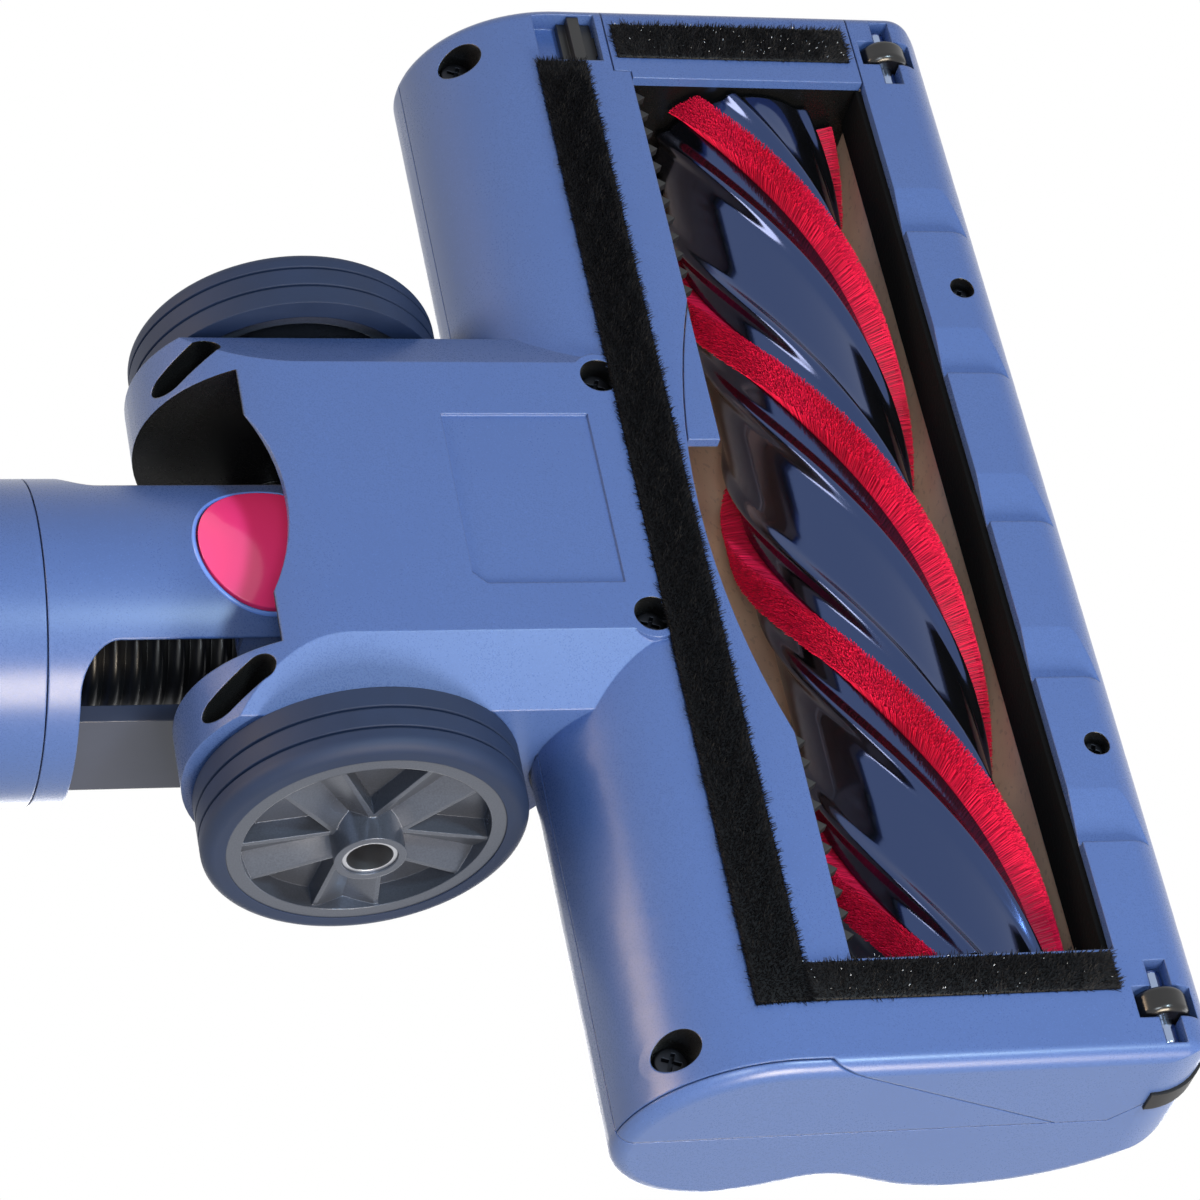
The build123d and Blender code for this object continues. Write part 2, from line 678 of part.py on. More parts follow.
def sole_housing():
    low = (YOKE - INNER) - block((-FAR, FAR), (-FAR, FAR), (PIVOT_HEIGHT, FAR))
    low -= head_block(-SEAM_GAP) - seam_side(SEAM_GAP / 2)
    housing = SHELL_LOW + low + front_bar() + latch_tub()
    for y in MOTOR_RIB_Y:
        housing += motor_rib(y)
    for y in BOARD_RIB_Y:
        housing += board_rib(y)
    for x, y in CORNER_WELLS:
        housing += well_boss(x, y, SEAM_HEIGHT - SEAM_GAP) & OUTER
    for x, y in DUCT_WELLS:
        housing += well_boss(x, y, DUCT_WELL_TOP + DUCT_WELL_FLOOR)
    housing -= block(
        (WINDOW_REAR_X, WINDOW_FRONT_X), (WINDOW_CAP_Y, WINDOW_DRIVE_Y), (-FAR, PLATE_TOP))
    housing -= prism_z(throat_outline(), (-FAR, PLATE_TOP))
    housing -= cap_room()
    housing -= prism_y(cover_outline(SEAM_GAP / 2), (HALF_WIDTH - SHELL - SEAM_GAP, FAR))
    housing -= plush_grooves() + ramp_cuts() + label_recess() + BUMPER_GROOVE + INLET_HOLE
    for x, y in CORNER_WELLS:
        housing -= well_cut(x, y, CORNER_WELL_TOP, SEAM_HEIGHT)
    for x, y in DUCT_WELLS:
        housing -= well_cut(x, y, DUCT_WELL_TOP, DUCT_WELL_TOP + DUCT_WELL_FLOOR)
    for y in FRONT_SCREW_Y:
        housing -= rod_z(FRONT_SCREW_X, y, FRONT_WELL_R, (-FAR, FRONT_SEAT))
        housing -= rod_z(FRONT_SCREW_X, y, SCREW_R + SCREW_HOLE_GAP, (FRONT_SEAT, FAR))
    for side in (1, -1):
        housing -= castor_cuts(side)
    housing -= block(LATCH_X, LATCH_Y, (-FAR, LATCH_FLOOR))
    housing -= latch_slot(LATCH_PLAY)
    return housing


def top_shell():
    shell = SHELL_HIGH
    for x, y in CORNER_WELLS:
        boss = rod_z(x, y, TOP_BOSS_R, (SEAM_HEIGHT + SEAM_GAP, FAR)) & OUTER
        shell += boss - rod_z(x, y, SCREW_R, (0, CORNER_WELL_TOP + CORNER_SCREW_LENGTH))
    return shell - BUMPER_GROOVE - INLET_HOLE


def front_bumper():
    return bumper_band(BUMPER_PROUD, BUMPER_DEPTH, BUMPER_BAND / 2)


# Brush tunnel, duct and end cap

def tunnel_outline(grow):
    """Arch over the brush, with straight legs down to the sole."""
    half = (WINDOW_FRONT_X - WINDOW_REAR_X) / 2 + grow
    middle = (WINDOW_FRONT_X + WINDOW_REAR_X) / 2
    arch = EllipticalCenterArc(
        (middle, BRUSH_HEIGHT), half, BRUSH_R + TUNNEL_ROOM + grow, 0, arc_size=180)
    legs = Polyline(
        (middle - half, BRUSH_HEIGHT), (middle - half, PLATE_TOP), (middle + half, PLATE_TOP),
        (middle + half, BRUSH_HEIGHT))
    return make_face([arch, legs])


def brush_tunnel():
    y = (WINDOW_CAP_Y + SEAM_GAP, BRACKET_Y - SEAM_GAP)
    tunnel = prism_y(tunnel_outline(TUNNEL_WALL), y) - prism_y(tunnel_outline(0.0), (-FAR, FAR))
    mouth = block((-FAR, BRUSH_X), DUCT_MOUTH_Y, (0, DUCT_MOUTH_Z[1]))
    shell_inside = prism_y(head_outline(SHELL + SEAM_GAP), (-FAR, FAR))
    return (tunnel - mouth) & shell_inside


def front_liner():
    """Soft strip on the tunnel's front wall, ahead of the brush."""
    y = (WINDOW_CAP_Y + CAP_WALL + SEAM_GAP, WINDOW_DRIVE_Y - SEAM_GAP)
    return block((WINDOW_FRONT_X - LINER, WINDOW_FRONT_X), y, (PLATE_TOP, LINER_TOP))


def hair_comb(start, end):
    """Strip with a row of teeth on the tunnel's rear wall, to pull hair off the brush."""
    root = WINDOW_REAR_X + COMB_BASE
    count = int((end - start) / COMB_PITCH)
    outline = [(WINDOW_REAR_X, start), (root, start)]
    for number in range(count):
        foot = start + number * COMB_PITCH
        outline += [(root, foot + COMB_TOOTH), (root + COMB_REACH, foot + COMB_PITCH / 2),
                    (root, foot + COMB_PITCH - COMB_TOOTH)]
    outline += [(root, end), (WINDOW_REAR_X, end)]
    return prism_z(polygon(*outline), (PLATE_TOP, PLATE_TOP + COMB_HEIGHT))


def duct_form(grow):
    """Funnel of the duct in three sections, `grow` outside its bore."""
    sections = []
    spans = [
        (DUCT_MOUTH_X, DUCT_MOUTH_Y, DUCT_MOUTH_Z),
        (DUCT_WAIST_X, (-DUCT_WAIST_HALF, DUCT_WAIST_HALF), DUCT_WAIST_Z),
        (DUCT_END_X, (-DUCT_END_HALF, DUCT_END_HALF), DUCT_END_Z)]
    for x, y, z in spans:
        wide = y[1] - y[0] - 2 * DUCT_WALL + 2 * grow
        tall = z[1] - z[0] - 2 * DUCT_WALL + 2 * grow
        plane = Plane((x, (y[0] + y[1]) / 2, (z[0] + z[1]) / 2), x_dir=(0, 1, 0), z_dir=(1, 0, 0))
        sections.append(plane * Rectangle(wide, tall))
    return loft(sections, ruled=True)


def throat_wall():
    """Curved wall from the throat's rear edge up to the floor of the duct."""
    ring = offset(throat_outline(), DUCT_WALL, kind=Kind.INTERSECTION) - throat_outline()
    wall = prism_z(ring, (PLATE_TOP, DUCT_WAIST_Z[0]))
    return wall & block((-FAR, DUCT_MOUTH_X), DUCT_MOUTH_Y, (0, FAR))


def suction_duct():
    """Funnel from the throat to the hose's inlet."""
    duct = duct_form(DUCT_WALL) + throat_wall()
    for x, y in DUCT_WELLS:
        foot = rod_z(x, y, DUCT_FOOT_R, (DUCT_WELL_TOP + DUCT_WELL_FLOOR, DUCT_WAIST_Z[0] + DUCT_FOOT_R))
        duct += foot
    duct -= duct_form(0.0)
    duct -= prism_z(throat_outline(), (0, DUCT_WAIST_Z[0]))
    for x, y in DUCT_WELLS:
        duct -= rod_z(x, y, SCREW_R, (0, DUCT_WELL_TOP + DUCT_SCREW_LENGTH))
    return duct & block((DUCT_END_X, FAR), (-FAR, FAR), (-FAR, FAR))


def hose_inlet():
    """Plate on the duct's end with the sloping spigot that the hose is pushed on."""
    behind = (DUCT_END_X - DUCT_WALL, DUCT_END_X)
    plate = block(behind, (-DUCT_END_HALF, DUCT_END_HALF), DUCT_END_Z)
    inlet = plate + inlet_rod(SPIGOT_R, -SPIGOT_R, SPIGOT_LENGTH) - inlet_rod(SPIGOT_BORE_R, -FAR, FAR)
    return inlet & block((-FAR, DUCT_END_X), (-FAR, FAR), (-FAR, FAR))


def end_cap():
    """Cap that closes the brush window's end and carries the brush's far bearing."""
    x = (CAP_REAR_X + SEAM_GAP, WINDOW_FRONT_X - SEAM_GAP)
    top = SEAM_HEIGHT - SEAM_GAP / 2
    box = block(x, (-HALF_WIDTH, WINDOW_CAP_Y), (SOLE_HEIGHT, top)) & OUTER
    inside = block(
        (x[0] + CAP_WALL, x[1] - CAP_WALL), (-HALF_WIDTH + SHELL, WINDOW_CAP_Y + CAP_WALL), (PLATE_TOP, FAR))
    plug = prism_y(tunnel_outline(-SEAM_GAP), (WINDOW_CAP_Y, WINDOW_CAP_Y + CAP_WALL))
    lip = block(x, (WINDOW_CAP_Y, WINDOW_CAP_Y + CAP_WALL), (SOLE_HEIGHT, PLATE_TOP)) & prism_y(
        polygon((WINDOW_REAR_X + SEAM_GAP, 0), (WINDOW_FRONT_X - SEAM_GAP, 0),
                (WINDOW_FRONT_X - SEAM_GAP, FAR), (WINDOW_REAR_X + SEAM_GAP, FAR)), (-FAR, FAR))
    wall_y = -HALF_WIDTH + SHELL
    boss = rod_y(BRUSH_X, BRUSH_HEIGHT, CAP_BOSS_R, (wall_y + SEAM_GAP, WINDOW_CAP_Y + CAP_WALL))
    foot = rod_y(BRUSH_X, BRUSH_HEIGHT, CAP_BOSS_R, (wall_y, WINDOW_CAP_Y)) & seam_side(-SEAM_GAP / 2)
    cap = (box - inside) + plug + lip + boss + foot
    cap -= rod_y(BRUSH_X, BRUSH_HEIGHT, JOURNAL_R + BEARING_WALL, (CAP_JOURNAL_END_Y - SEAM_GAP, FAR))
    cap -= block(
        (CAP_PLUSH_X[0] - PLUSH_ROOM, CAP_PLUSH_X[1] + PLUSH_ROOM),
        (CAP_PLUSH_Y[0] - PLUSH_ROOM, CAP_PLUSH_Y[1] + PLUSH_ROOM),
        (-FAR, SOLE_HEIGHT + PLUSH_GROOVE + PLUSH_ROOM))
    cap -= latch_slot(LATCH_PLAY)
    return cap


def plush_strip(x, y):
    """Strip of pile seated in its groove, its tips just off the floor."""
    return block(x, y, (PLUSH_TIP, SOLE_HEIGHT + PLUSH_GROOVE))


# Brush

def on_brush(y):
    """Plane across the brush's axis at Y = y, its normal along +Y."""
    return Plane((BRUSH_X, y, BRUSH_HEIGHT), x_dir=(1, 0, 0), z_dir=(0, 1, 0))


def polar(radius, angle):
    """Point on a circle about the origin; the angle is in degrees."""
    return (radius * cos(radians(angle)), radius * sin(radians(angle)))


def core_section():
    """Round core with a channel for each bristle strip and a rounded ridge on either side of it."""
    edges = []
    step = 360.0 / STRIP_COUNT
    half = STRIP_BASE_HALF + STRIP_GAP
    mouth = (CORE_R ** 2 - half ** 2) ** 0.5
    floor = (CHANNEL_R ** 2 - half ** 2) ** 0.5
    lip_angle = degrees(asin(half / CORE_R))
    for number in range(STRIP_COUNT):
        turn = Rot(Z=STRIP_START + number * step)
        run = [Line((floor, -half), (floor, half)), Line((floor, half), (mouth, half))]
        start = (mouth, half)
        start_angle = lip_angle
        for ridge in (RIDGE_ANGLE, step - RIDGE_ANGLE):
            foot = ridge - RIDGE_HALF_ANGLE
            rise = polar(CORE_R, foot)
            fall = polar(CORE_R, ridge + RIDGE_HALF_ANGLE)
            run.append(ThreePointArc(start, polar(CORE_R, (start_angle + foot) / 2), rise))
            run.append(ThreePointArc(rise, polar(CORE_R + RIDGE_HEIGHT, ridge), fall))
            start = fall
            start_angle = ridge + RIDGE_HALF_ANGLE
        next_mouth = Vector(mouth, -half).rotate(Axis.Z, step)
        next_floor = Vector(floor, -half).rotate(Axis.Z, step)
        last_angle = (start_angle + step - lip_angle) / 2
        run.append(ThreePointArc(start, polar(CORE_R, last_angle), next_mouth))
        run.append(Line(next_mouth, next_floor))
        edges += [turn * edge for edge in run]
    return make_face(edges)


def twisted(section):
    """Section at the cap end of the brush, extruded to the drive end while it turns."""
    placed = on_brush(BRUSH_CAP_Y) * section
    return Solid.extrude_linear_with_rotation(
        placed.face(), (BRUSH_X, BRUSH_CAP_Y, BRUSH_HEIGHT), (0, BRUSH_DRIVE_Y - BRUSH_CAP_Y, 0), CORE_TURN)


def brush_core():
    core = Part() + twisted(core_section())
    core += rod_y(BRUSH_X, BRUSH_HEIGHT, JOURNAL_R, (CAP_JOURNAL_END_Y, BRUSH_CAP_Y))
    core += rod_y(BRUSH_X, BRUSH_HEIGHT, JOURNAL_R, (BRUSH_DRIVE_Y, PULLEY_Y[1]))
    return core


def bristle_strip(number):
    """Helical strip of bristles, a little wider at the tips."""
    base = (CHANNEL_R ** 2 - STRIP_BASE_HALF ** 2) ** 0.5 + STRIP_GAP
    tip = (BRUSH_R ** 2 - STRIP_TIP_HALF ** 2) ** 0.5
    sides = Polyline(
        (tip, -STRIP_TIP_HALF), (CORE_R, -STRIP_BASE_HALF), (base, -STRIP_BASE_HALF), (base, STRIP_BASE_HALF),
        (CORE_R, STRIP_BASE_HALF), (tip, STRIP_TIP_HALF))
    crown = ThreePointArc((tip, STRIP_TIP_HALF), (BRUSH_R, 0), (tip, -STRIP_TIP_HALF))
    section = make_face([sides, crown])
    return twisted(Rot(Z=STRIP_START + number * 360.0 / STRIP_COUNT) * section)


def bearing(y):
    """Plain bearing ring round a brush journal."""
    ring = rod_y(BRUSH_X, BRUSH_HEIGHT, JOURNAL_R + BEARING_WALL, y)
    return ring - rod_y(BRUSH_X, BRUSH_HEIGHT, JOURNAL_R + RUNNING_GAP, (-FAR, FAR))


# Drive

def drive_bracket():
    """Wall between the brush tunnel and the belt, with the bearing's seat and the motor's neck hole."""
    y = (BRACKET_Y, BRACKET_Y + BRACKET_THICKNESS)
    plate = prism_y(head_outline(SHELL + SEAM_GAP), y)
    plate &= block((BOARD_X[0], WINDOW_FRONT_X), (-FAR, FAR), (PLATE_TOP + SEAM_GAP, FAR))
    plate += rod_y(BRUSH_X, BRUSH_HEIGHT, JOURNAL_R + 2 * BEARING_WALL, y)
    plate -= rod_y(BRUSH_X, BRUSH_HEIGHT, JOURNAL_R + BEARING_WALL, (-FAR, FAR))
    return plate - rod_y(MOTOR_X, MOTOR_HEIGHT, MOTOR_NECK_R, (-FAR, FAR))


def drive_motor():
    """Round motor with a stepped neck in the bracket and a terminal end."""
    motor = rod_y(MOTOR_X, MOTOR_HEIGHT, MOTOR_R, MOTOR_Y)
    motor += rod_y(MOTOR_X, MOTOR_HEIGHT, MOTOR_NECK_R, (MOTOR_Y[1], BRACKET_Y + BRACKET_THICKNESS))
    motor += rod_y(MOTOR_X, MOTOR_HEIGHT, MOTOR_TERMINAL_R, (MOTOR_Y[0] - MOTOR_TERMINAL, MOTOR_Y[0]))
    return motor - rod_y(MOTOR_X, MOTOR_HEIGHT, MOTOR_SHAFT_R + RUNNING_GAP, (MOTOR_SHAFT_START_Y, FAR))


def motor_shaft():
    return rod_y(MOTOR_X, MOTOR_HEIGHT, MOTOR_SHAFT_R, (MOTOR_SHAFT_START_Y + RUNNING_GAP, PULLEY_Y[1]))


def pulley(x, z, radius, bore_r):
    """Flanged belt pulley."""
    wheel = rod_y(x, z, radius, PULLEY_Y)
    for start in (PULLEY_Y[0], PULLEY_Y[1] - PULLEY_FLANGE):
        wheel += rod_y(x, z, radius + PULLEY_FLANGE_PROUD, (start, start + PULLEY_FLANGE))
    return wheel - rod_y(x, z, bore_r, (-FAR, FAR))


def belt_loop(grow):
    """Side view of the belt's loop, `grow` outside the pulleys."""
    motor_end = Pos(MOTOR_X, MOTOR_HEIGHT) * Circle(MOTOR_PULLEY_R + grow)
    brush_end = Pos(BRUSH_X, BRUSH_HEIGHT) * Circle(BRUSH_PULLEY_R + grow)
    return make_hull(motor_end.edges() + brush_end.edges())


def drive_belt():
    y = (PULLEY_Y[0] + PULLEY_FLANGE + BELT_GAP, PULLEY_Y[1] - PULLEY_FLANGE - BELT_GAP)
    return prism_y(belt_loop(BELT_GAP + BELT_THICKNESS), y) - prism_y(belt_loop(BELT_GAP), y)


def circuit_board():
    """Motor control board with a row of capacitors."""
    board = block(BOARD_X, BOARD_Y, (BOARD_BOTTOM, BOARD_BOTTOM + BOARD_THICKNESS))
    top = BOARD_BOTTOM + BOARD_THICKNESS
    x = (BOARD_X[0] + BOARD_X[1]) / 2
    for number in range(CAPACITOR_COUNT):
        y = BOARD_Y[0] + CAPACITOR_PITCH * (number + 1)
        board += rod_z(x, y, CAPACITOR_R, (top, top + CAPACITOR_HEIGHT))
    return board


def sole_screws():
    group = [screw(x, y, CORNER_WELL_TOP, CORNER_SCREW_LENGTH, SCREW_HEAD_R) for x, y in CORNER_WELLS]
    group += [screw(x, y, DUCT_WELL_TOP, DUCT_SCREW_LENGTH, SCREW_HEAD_R) for x, y in DUCT_WELLS]
    return Compound(children=group)


def front_screws():
    head_r = FRONT_WELL_R - SCREW_HOLE_GAP
    length = BAR_TOP - FRONT_SEAT
    return Compound(children=[screw(FRONT_SCREW_X, y, FRONT_SEAT, length, head_r) for y in FRONT_SCREW_Y])


# Wheels and castors

def outward(side, x, z):
    """Frame of a wheel: local Z runs outwards along the axle."""
    return Plane((x, 0, z), x_dir=(1, 0, 0), z_dir=(0, side, 0)).location


def wheel_hub(side):
    """Hub with a rim, five spokes with a valley along each, and a hollow boss."""
    rim = Pos(Z=HUB_RIM_Y[0]) * Cylinder(
        TYRE_BORE_R, HUB_RIM_Y[1] - HUB_RIM_Y[0], align=(Align.CENTER, Align.CENTER, Align.MIN))
    pocket = Pos(Z=HUB_WEB_Y[1]) * Cylinder(HUB_RIM_R, FAR, align=(Align.CENTER, Align.CENTER, Align.MIN))
    back = Pos(Z=HUB_WEB_Y[0]) * Cylinder(HUB_RIM_R, FAR, align=(Align.CENTER, Align.CENTER, Align.MAX))
    hub = rim - pocket - back
    spoke_end = (HUB_RIM_R + TYRE_BORE_R) / 2
    spoke_outline = polygon(
        (BOSS_R / 2, -SPOKE_ROOT / 2), (spoke_end, -SPOKE_TIP / 2), (spoke_end, SPOKE_TIP / 2),
        (BOSS_R / 2, SPOKE_ROOT / 2))
    spoke = Pos(Z=HUB_WEB_Y[0]) * extrude(spoke_outline, amount=HUB_SPOKE_Y - HUB_WEB_Y[0])
    vee_ends = []
    for reach, width in ((BOSS_R / 2, SPOKE_ROOT), (HUB_RIM_R, SPOKE_TIP)):
        half = width / 2 - SPOKE_EDGE
        vee_end = polygon((-half, HUB_SPOKE_Y), (0, HUB_SPOKE_Y - SPOKE_VEE), (half, HUB_SPOKE_Y))
        vee_ends.append(Plane((reach, 0, 0), x_dir=(0, 1, 0), z_dir=(1, 0, 0)) * vee_end)
    vee = loft(vee_ends)
    for number in range(HUB_SPOKES):
        hub += Rot(Z=-90 * side + number * 360.0 / HUB_SPOKES) * (spoke - vee)
    hub += Pos(Z=BOSS_Y[0]) * Cylinder(
        BOSS_R, BOSS_Y[1] - BOSS_Y[0], align=(Align.CENTER, Align.CENTER, Align.MIN))
    hub -= Cylinder(AXLE_R + RUNNING_GAP, FAR)
    return outward(side, WHEEL_X, WHEEL_HEIGHT) * hub


def tyre(side):
    """Rubber tyre with two grooves and a rounded outer shoulder."""
    inner, outer = TYRE_Y
    band = (outer - inner) / 3
    half = TYRE_GROOVE / 2
    outline = polygon((TYRE_BORE_R, inner), (WHEEL_R, inner), (WHEEL_R, outer), (TYRE_BORE_R, outer))
    shoulder = outline.vertices().sort_by_distance((WHEEL_R, outer))[0]
    outline = fillet(shoulder, TYRE_SHOULDER)
    for groove in (inner + band, inner + 2 * band):
        outline -= polygon(
            (WHEEL_R, groove - half), (WHEEL_R, groove + half), (WHEEL_R - TYRE_GROOVE, groove + half / 2),
            (WHEEL_R - TYRE_GROOVE, groove - half / 2))
    ring = revolve(Plane.XZ * outline, Axis.Z)
    return outward(side, WHEEL_X, WHEEL_HEIGHT) * ring


def wheel_axle(side):
    """Tubular axle fixed in a yoke arm."""
    length = AXLE_Y[1] - AXLE_Y[0]
    low = (Align.CENTER, Align.CENTER, Align.MIN)
    tube = Cylinder(AXLE_R, length, align=low) - Cylinder(AXLE_BORE_R, length, align=low)
    return outward(side, WHEEL_X, WHEEL_HEIGHT) * Pos(Z=AXLE_Y[0]) * tube


def castor_axle(side):
    """Bright pin with rounded ends."""
    y = side * CASTOR_Y
    half = CASTOR_AXLE_LENGTH / 2
    pin = rod_y(CASTOR_X, CASTOR_R, CASTOR_AXLE_R, (y - half, y + half))
    return fillet(pin.edges(), CASTOR_AXLE_ROUND)


def castor_wheel(side):
    """Small rubber wheel with a rounded tread."""
    y = side * CASTOR_Y
    half = CASTOR_WIDTH / 2
    wheel = rod_y(CASTOR_X, CASTOR_R, CASTOR_R, (y - half, y + half))
    wheel = fillet(wheel.edges(), CASTOR_ROUND)
    return wheel - rod_y(CASTOR_X, CASTOR_R, CASTOR_AXLE_R + RUNNING_GAP, (-FAR, FAR))


# Neck, button, hose and collar

def pivot_pin(side):
    spans = {1: PIN_Y, -1: (-PIN_Y[1], -PIN_Y[0])}
    return rod_y(PIVOT_X, PIVOT_HEIGHT, PIN_R, spans[side])


def neck_tube(radius, x):
    return rod_x(0, PIVOT_HEIGHT, radius, x)


def neck_cut():
    """Side view of what is cut away over the tongue, with a rounded rear corner."""
    low = PIVOT_HEIGHT - NECK_R * cos(radians(TONGUE_ANGLE))
    outline = polygon((NECK_CUT_X, low), (FAR, low), (FAR, FAR), (NECK_CUT_X, FAR))
    corner = outline.vertices().sort_by_distance((NECK_CUT_X, low))[0]
    return prism_y(fillet(corner, WINDOW_CORNER), (-FAR, FAR))


def fork_arm(side):
    """Bar from the neck's bulkhead to the pivot, with an eye at its end."""
    spans = {1: BAR_Y, -1: (-BAR_Y[1], -BAR_Y[0])}
    roots = {1: (BAR_Y[0], NECK_R), -1: (-NECK_R, -BAR_Y[0])}
    z = (PIVOT_HEIGHT - BAR_HALF, PIVOT_HEIGHT + BAR_HALF)
    bar = block((NECK_CUT_X, PIVOT_X), spans[side], z)
    bar += rod_y(PIVOT_X, PIVOT_HEIGHT, BAR_HALF, spans[side])
    fit = neck_tube(NECK_R - NECK_WALL - RUNNING_GAP, (-FAR, 0))
    root = block((NECK_REAR_X + BULKHEAD, NECK_CUT_X), roots[side], z) & fit
    return bar + root - rod_y(PIVOT_X, PIVOT_HEIGHT, PIN_R + RUNNING_GAP, (-FAR, FAR))


def button_bridge():
    """Plate over the button on two legs, for the spring to push against."""
    inside = BUTTON_R + BUTTON_LIP + BUTTON_GAP
    x = (BUTTON_X - BRIDGE_HALF, BUTTON_X + BRIDGE_HALF)
    bridge = block(x, (-inside - BRIDGE_LEG, inside + BRIDGE_LEG), BRIDGE_Z)
    for side, low, high in both_sides((inside, inside + BRIDGE_LEG)):
        bridge += block(x, (low, high), (0, BRIDGE_Z[1]))
    return bridge & neck_tube(NECK_R - NECK_WALL / 2, (-FAR, 0))


def neck_shell():
    """Round neck with an open front and a tongue below; the fork arms stand on its bulkhead."""
    neck = neck_tube(NECK_R, (NECK_REAR_X, TONGUE_FRONT_X))
    neck -= neck_tube(NECK_R - NECK_WALL, (-FAR, FAR))
    neck -= neck_cut()
    neck += neck_tube(NECK_R - NECK_WALL / 2, (NECK_REAR_X, NECK_REAR_X + BULKHEAD))
    neck += neck_tube(SPIGOT_R, (NECK_REAR_X, NECK_REAR_X + HOSE_SPIGOT_LENGTH))
    neck += button_bridge()
    neck += neck_tube(COLLAR_SPIGOT_R, (NECK_REAR_X - COLLAR_SPIGOT_LENGTH, NECK_REAR_X))
    neck -= neck_tube(COLLAR_SPIGOT_R - COLLAR_SPIGOT_WALL, (NECK_REAR_X - COLLAR_SPIGOT_LENGTH, NECK_REAR_X))
    neck -= neck_tube(SPIGOT_BORE_R, (-FAR, NECK_REAR_X + HOSE_SPIGOT_LENGTH))
    return neck - rod_z(BUTTON_X, 0, BUTTON_R + BUTTON_GAP, (-FAR, BRIDGE_Z[0]))


def release_button():
    """Round button that follows the neck's curve, with a retaining lip and a spring post inside."""
    face = rod_z(BUTTON_X, 0, BUTTON_R, (0, PIVOT_HEIGHT)) & neck_tube(NECK_R + BUTTON_PROUD, (-FAR, 0))
    inner_r = NECK_R - NECK_WALL - BUTTON_GAP
    button = face - neck_tube(NECK_R + BUTTON_PROUD - BUTTON_THICKNESS, (-FAR, 0))
    lip = rod_z(BUTTON_X, 0, BUTTON_R + BUTTON_LIP, (0, PIVOT_HEIGHT)) & neck_tube(inner_r, (-FAR, 0))
    button += lip - neck_tube(inner_r - BUTTON_LIP, (-FAR, 0))
    post_top = BRIDGE_Z[0] - BUTTON_TRAVEL - BUTTON_GAP
    return button + rod_z(BUTTON_X, 0, BUTTON_POST_R, (PIVOT_HEIGHT - inner_r, post_top))


SPRING_SEAT = PIVOT_HEIGHT - (NECK_R - NECK_WALL - BUTTON_GAP - BUTTON_LIP)


def button_spring():
    """Coil spring of square wire between the button's lip and the bridge."""
    low = SPRING_SEAT + SPRING_WIRE
    high = BRIDGE_Z[0] - SPRING_WIRE
    height = high - low
    path = Helix(height / SPRING_TURNS, height, SPRING_R, center=(BUTTON_X, 0, low))
    wire = Plane(path @ 0, z_dir=path % 0) * Rectangle(SPRING_WIRE, SPRING_WIRE)
    return sweep(wire, path=path)


def hose_path():
    """Run of the hose: straight off the sloping inlet, one bend, then level inside the neck."""
    slope = (-cos(radians(INLET_ANGLE)), sin(radians(INLET_ANGLE)))
    start, bend = [
        (DUCT_END_X + along * slope[0], INLET_HEIGHT + along * slope[1]) for along in (HOSE_START, HOSE_BEND)]
    radius = (PIVOT_HEIGHT - bend[1]) / (1 - cos(radians(INLET_ANGLE)))
    level = (bend[0] - radius * sin(radians(INLET_ANGLE)), PIVOT_HEIGHT)
    runs = [
        Line(start, bend), TangentArc(bend, level, tangent=slope), Line(level, (HOSE_END_X, PIVOT_HEIGHT))]
    return Plane.XZ * Wire([run.edge() for run in runs])


def suction_hose():
    """Corrugated hose: a thin tube with a ring every few millimetres."""
    path = hose_path()
    start = Plane(path @ 0, x_dir=(0, 1, 0), z_dir=path % 0)
    hose = sweep(start * Circle(HOSE_BASE_R), path=path)
    count = int(path.length / RING_PITCH)
    for number in range(count):
        place = path.location_at((number + 0.5) * RING_PITCH, position_mode=PositionMode.LENGTH)
        hose += place * Cylinder(HOSE_R, RING_WIDTH)
    return hose - sweep(start * Circle(HOSE_BORE_R), path=path)


def swivel_collar():
    """Collar that turns on the neck's spigot; its bore takes the wand."""
    front = NECK_REAR_X - SEAM_GAP
    collar = neck_tube(NECK_R, (COLLAR_REAR_X, front))
    spigot_end = NECK_REAR_X - COLLAR_SPIGOT_LENGTH - SEAM_GAP
    collar -= neck_tube(COLLAR_SPIGOT_R + RUNNING_GAP, (spigot_end, FAR))
    collar -= neck_tube(WAND_BORE_R, (-FAR, COLLAR_REAR_X + WAND_BORE_LENGTH))
    collar -= neck_tube(SPIGOT_BORE_R, (-FAR, FAR))
    return fillet(collar.edges().group_by(Axis.X)[0].sort_by(SortBy.LENGTH)[-1], SHELL)


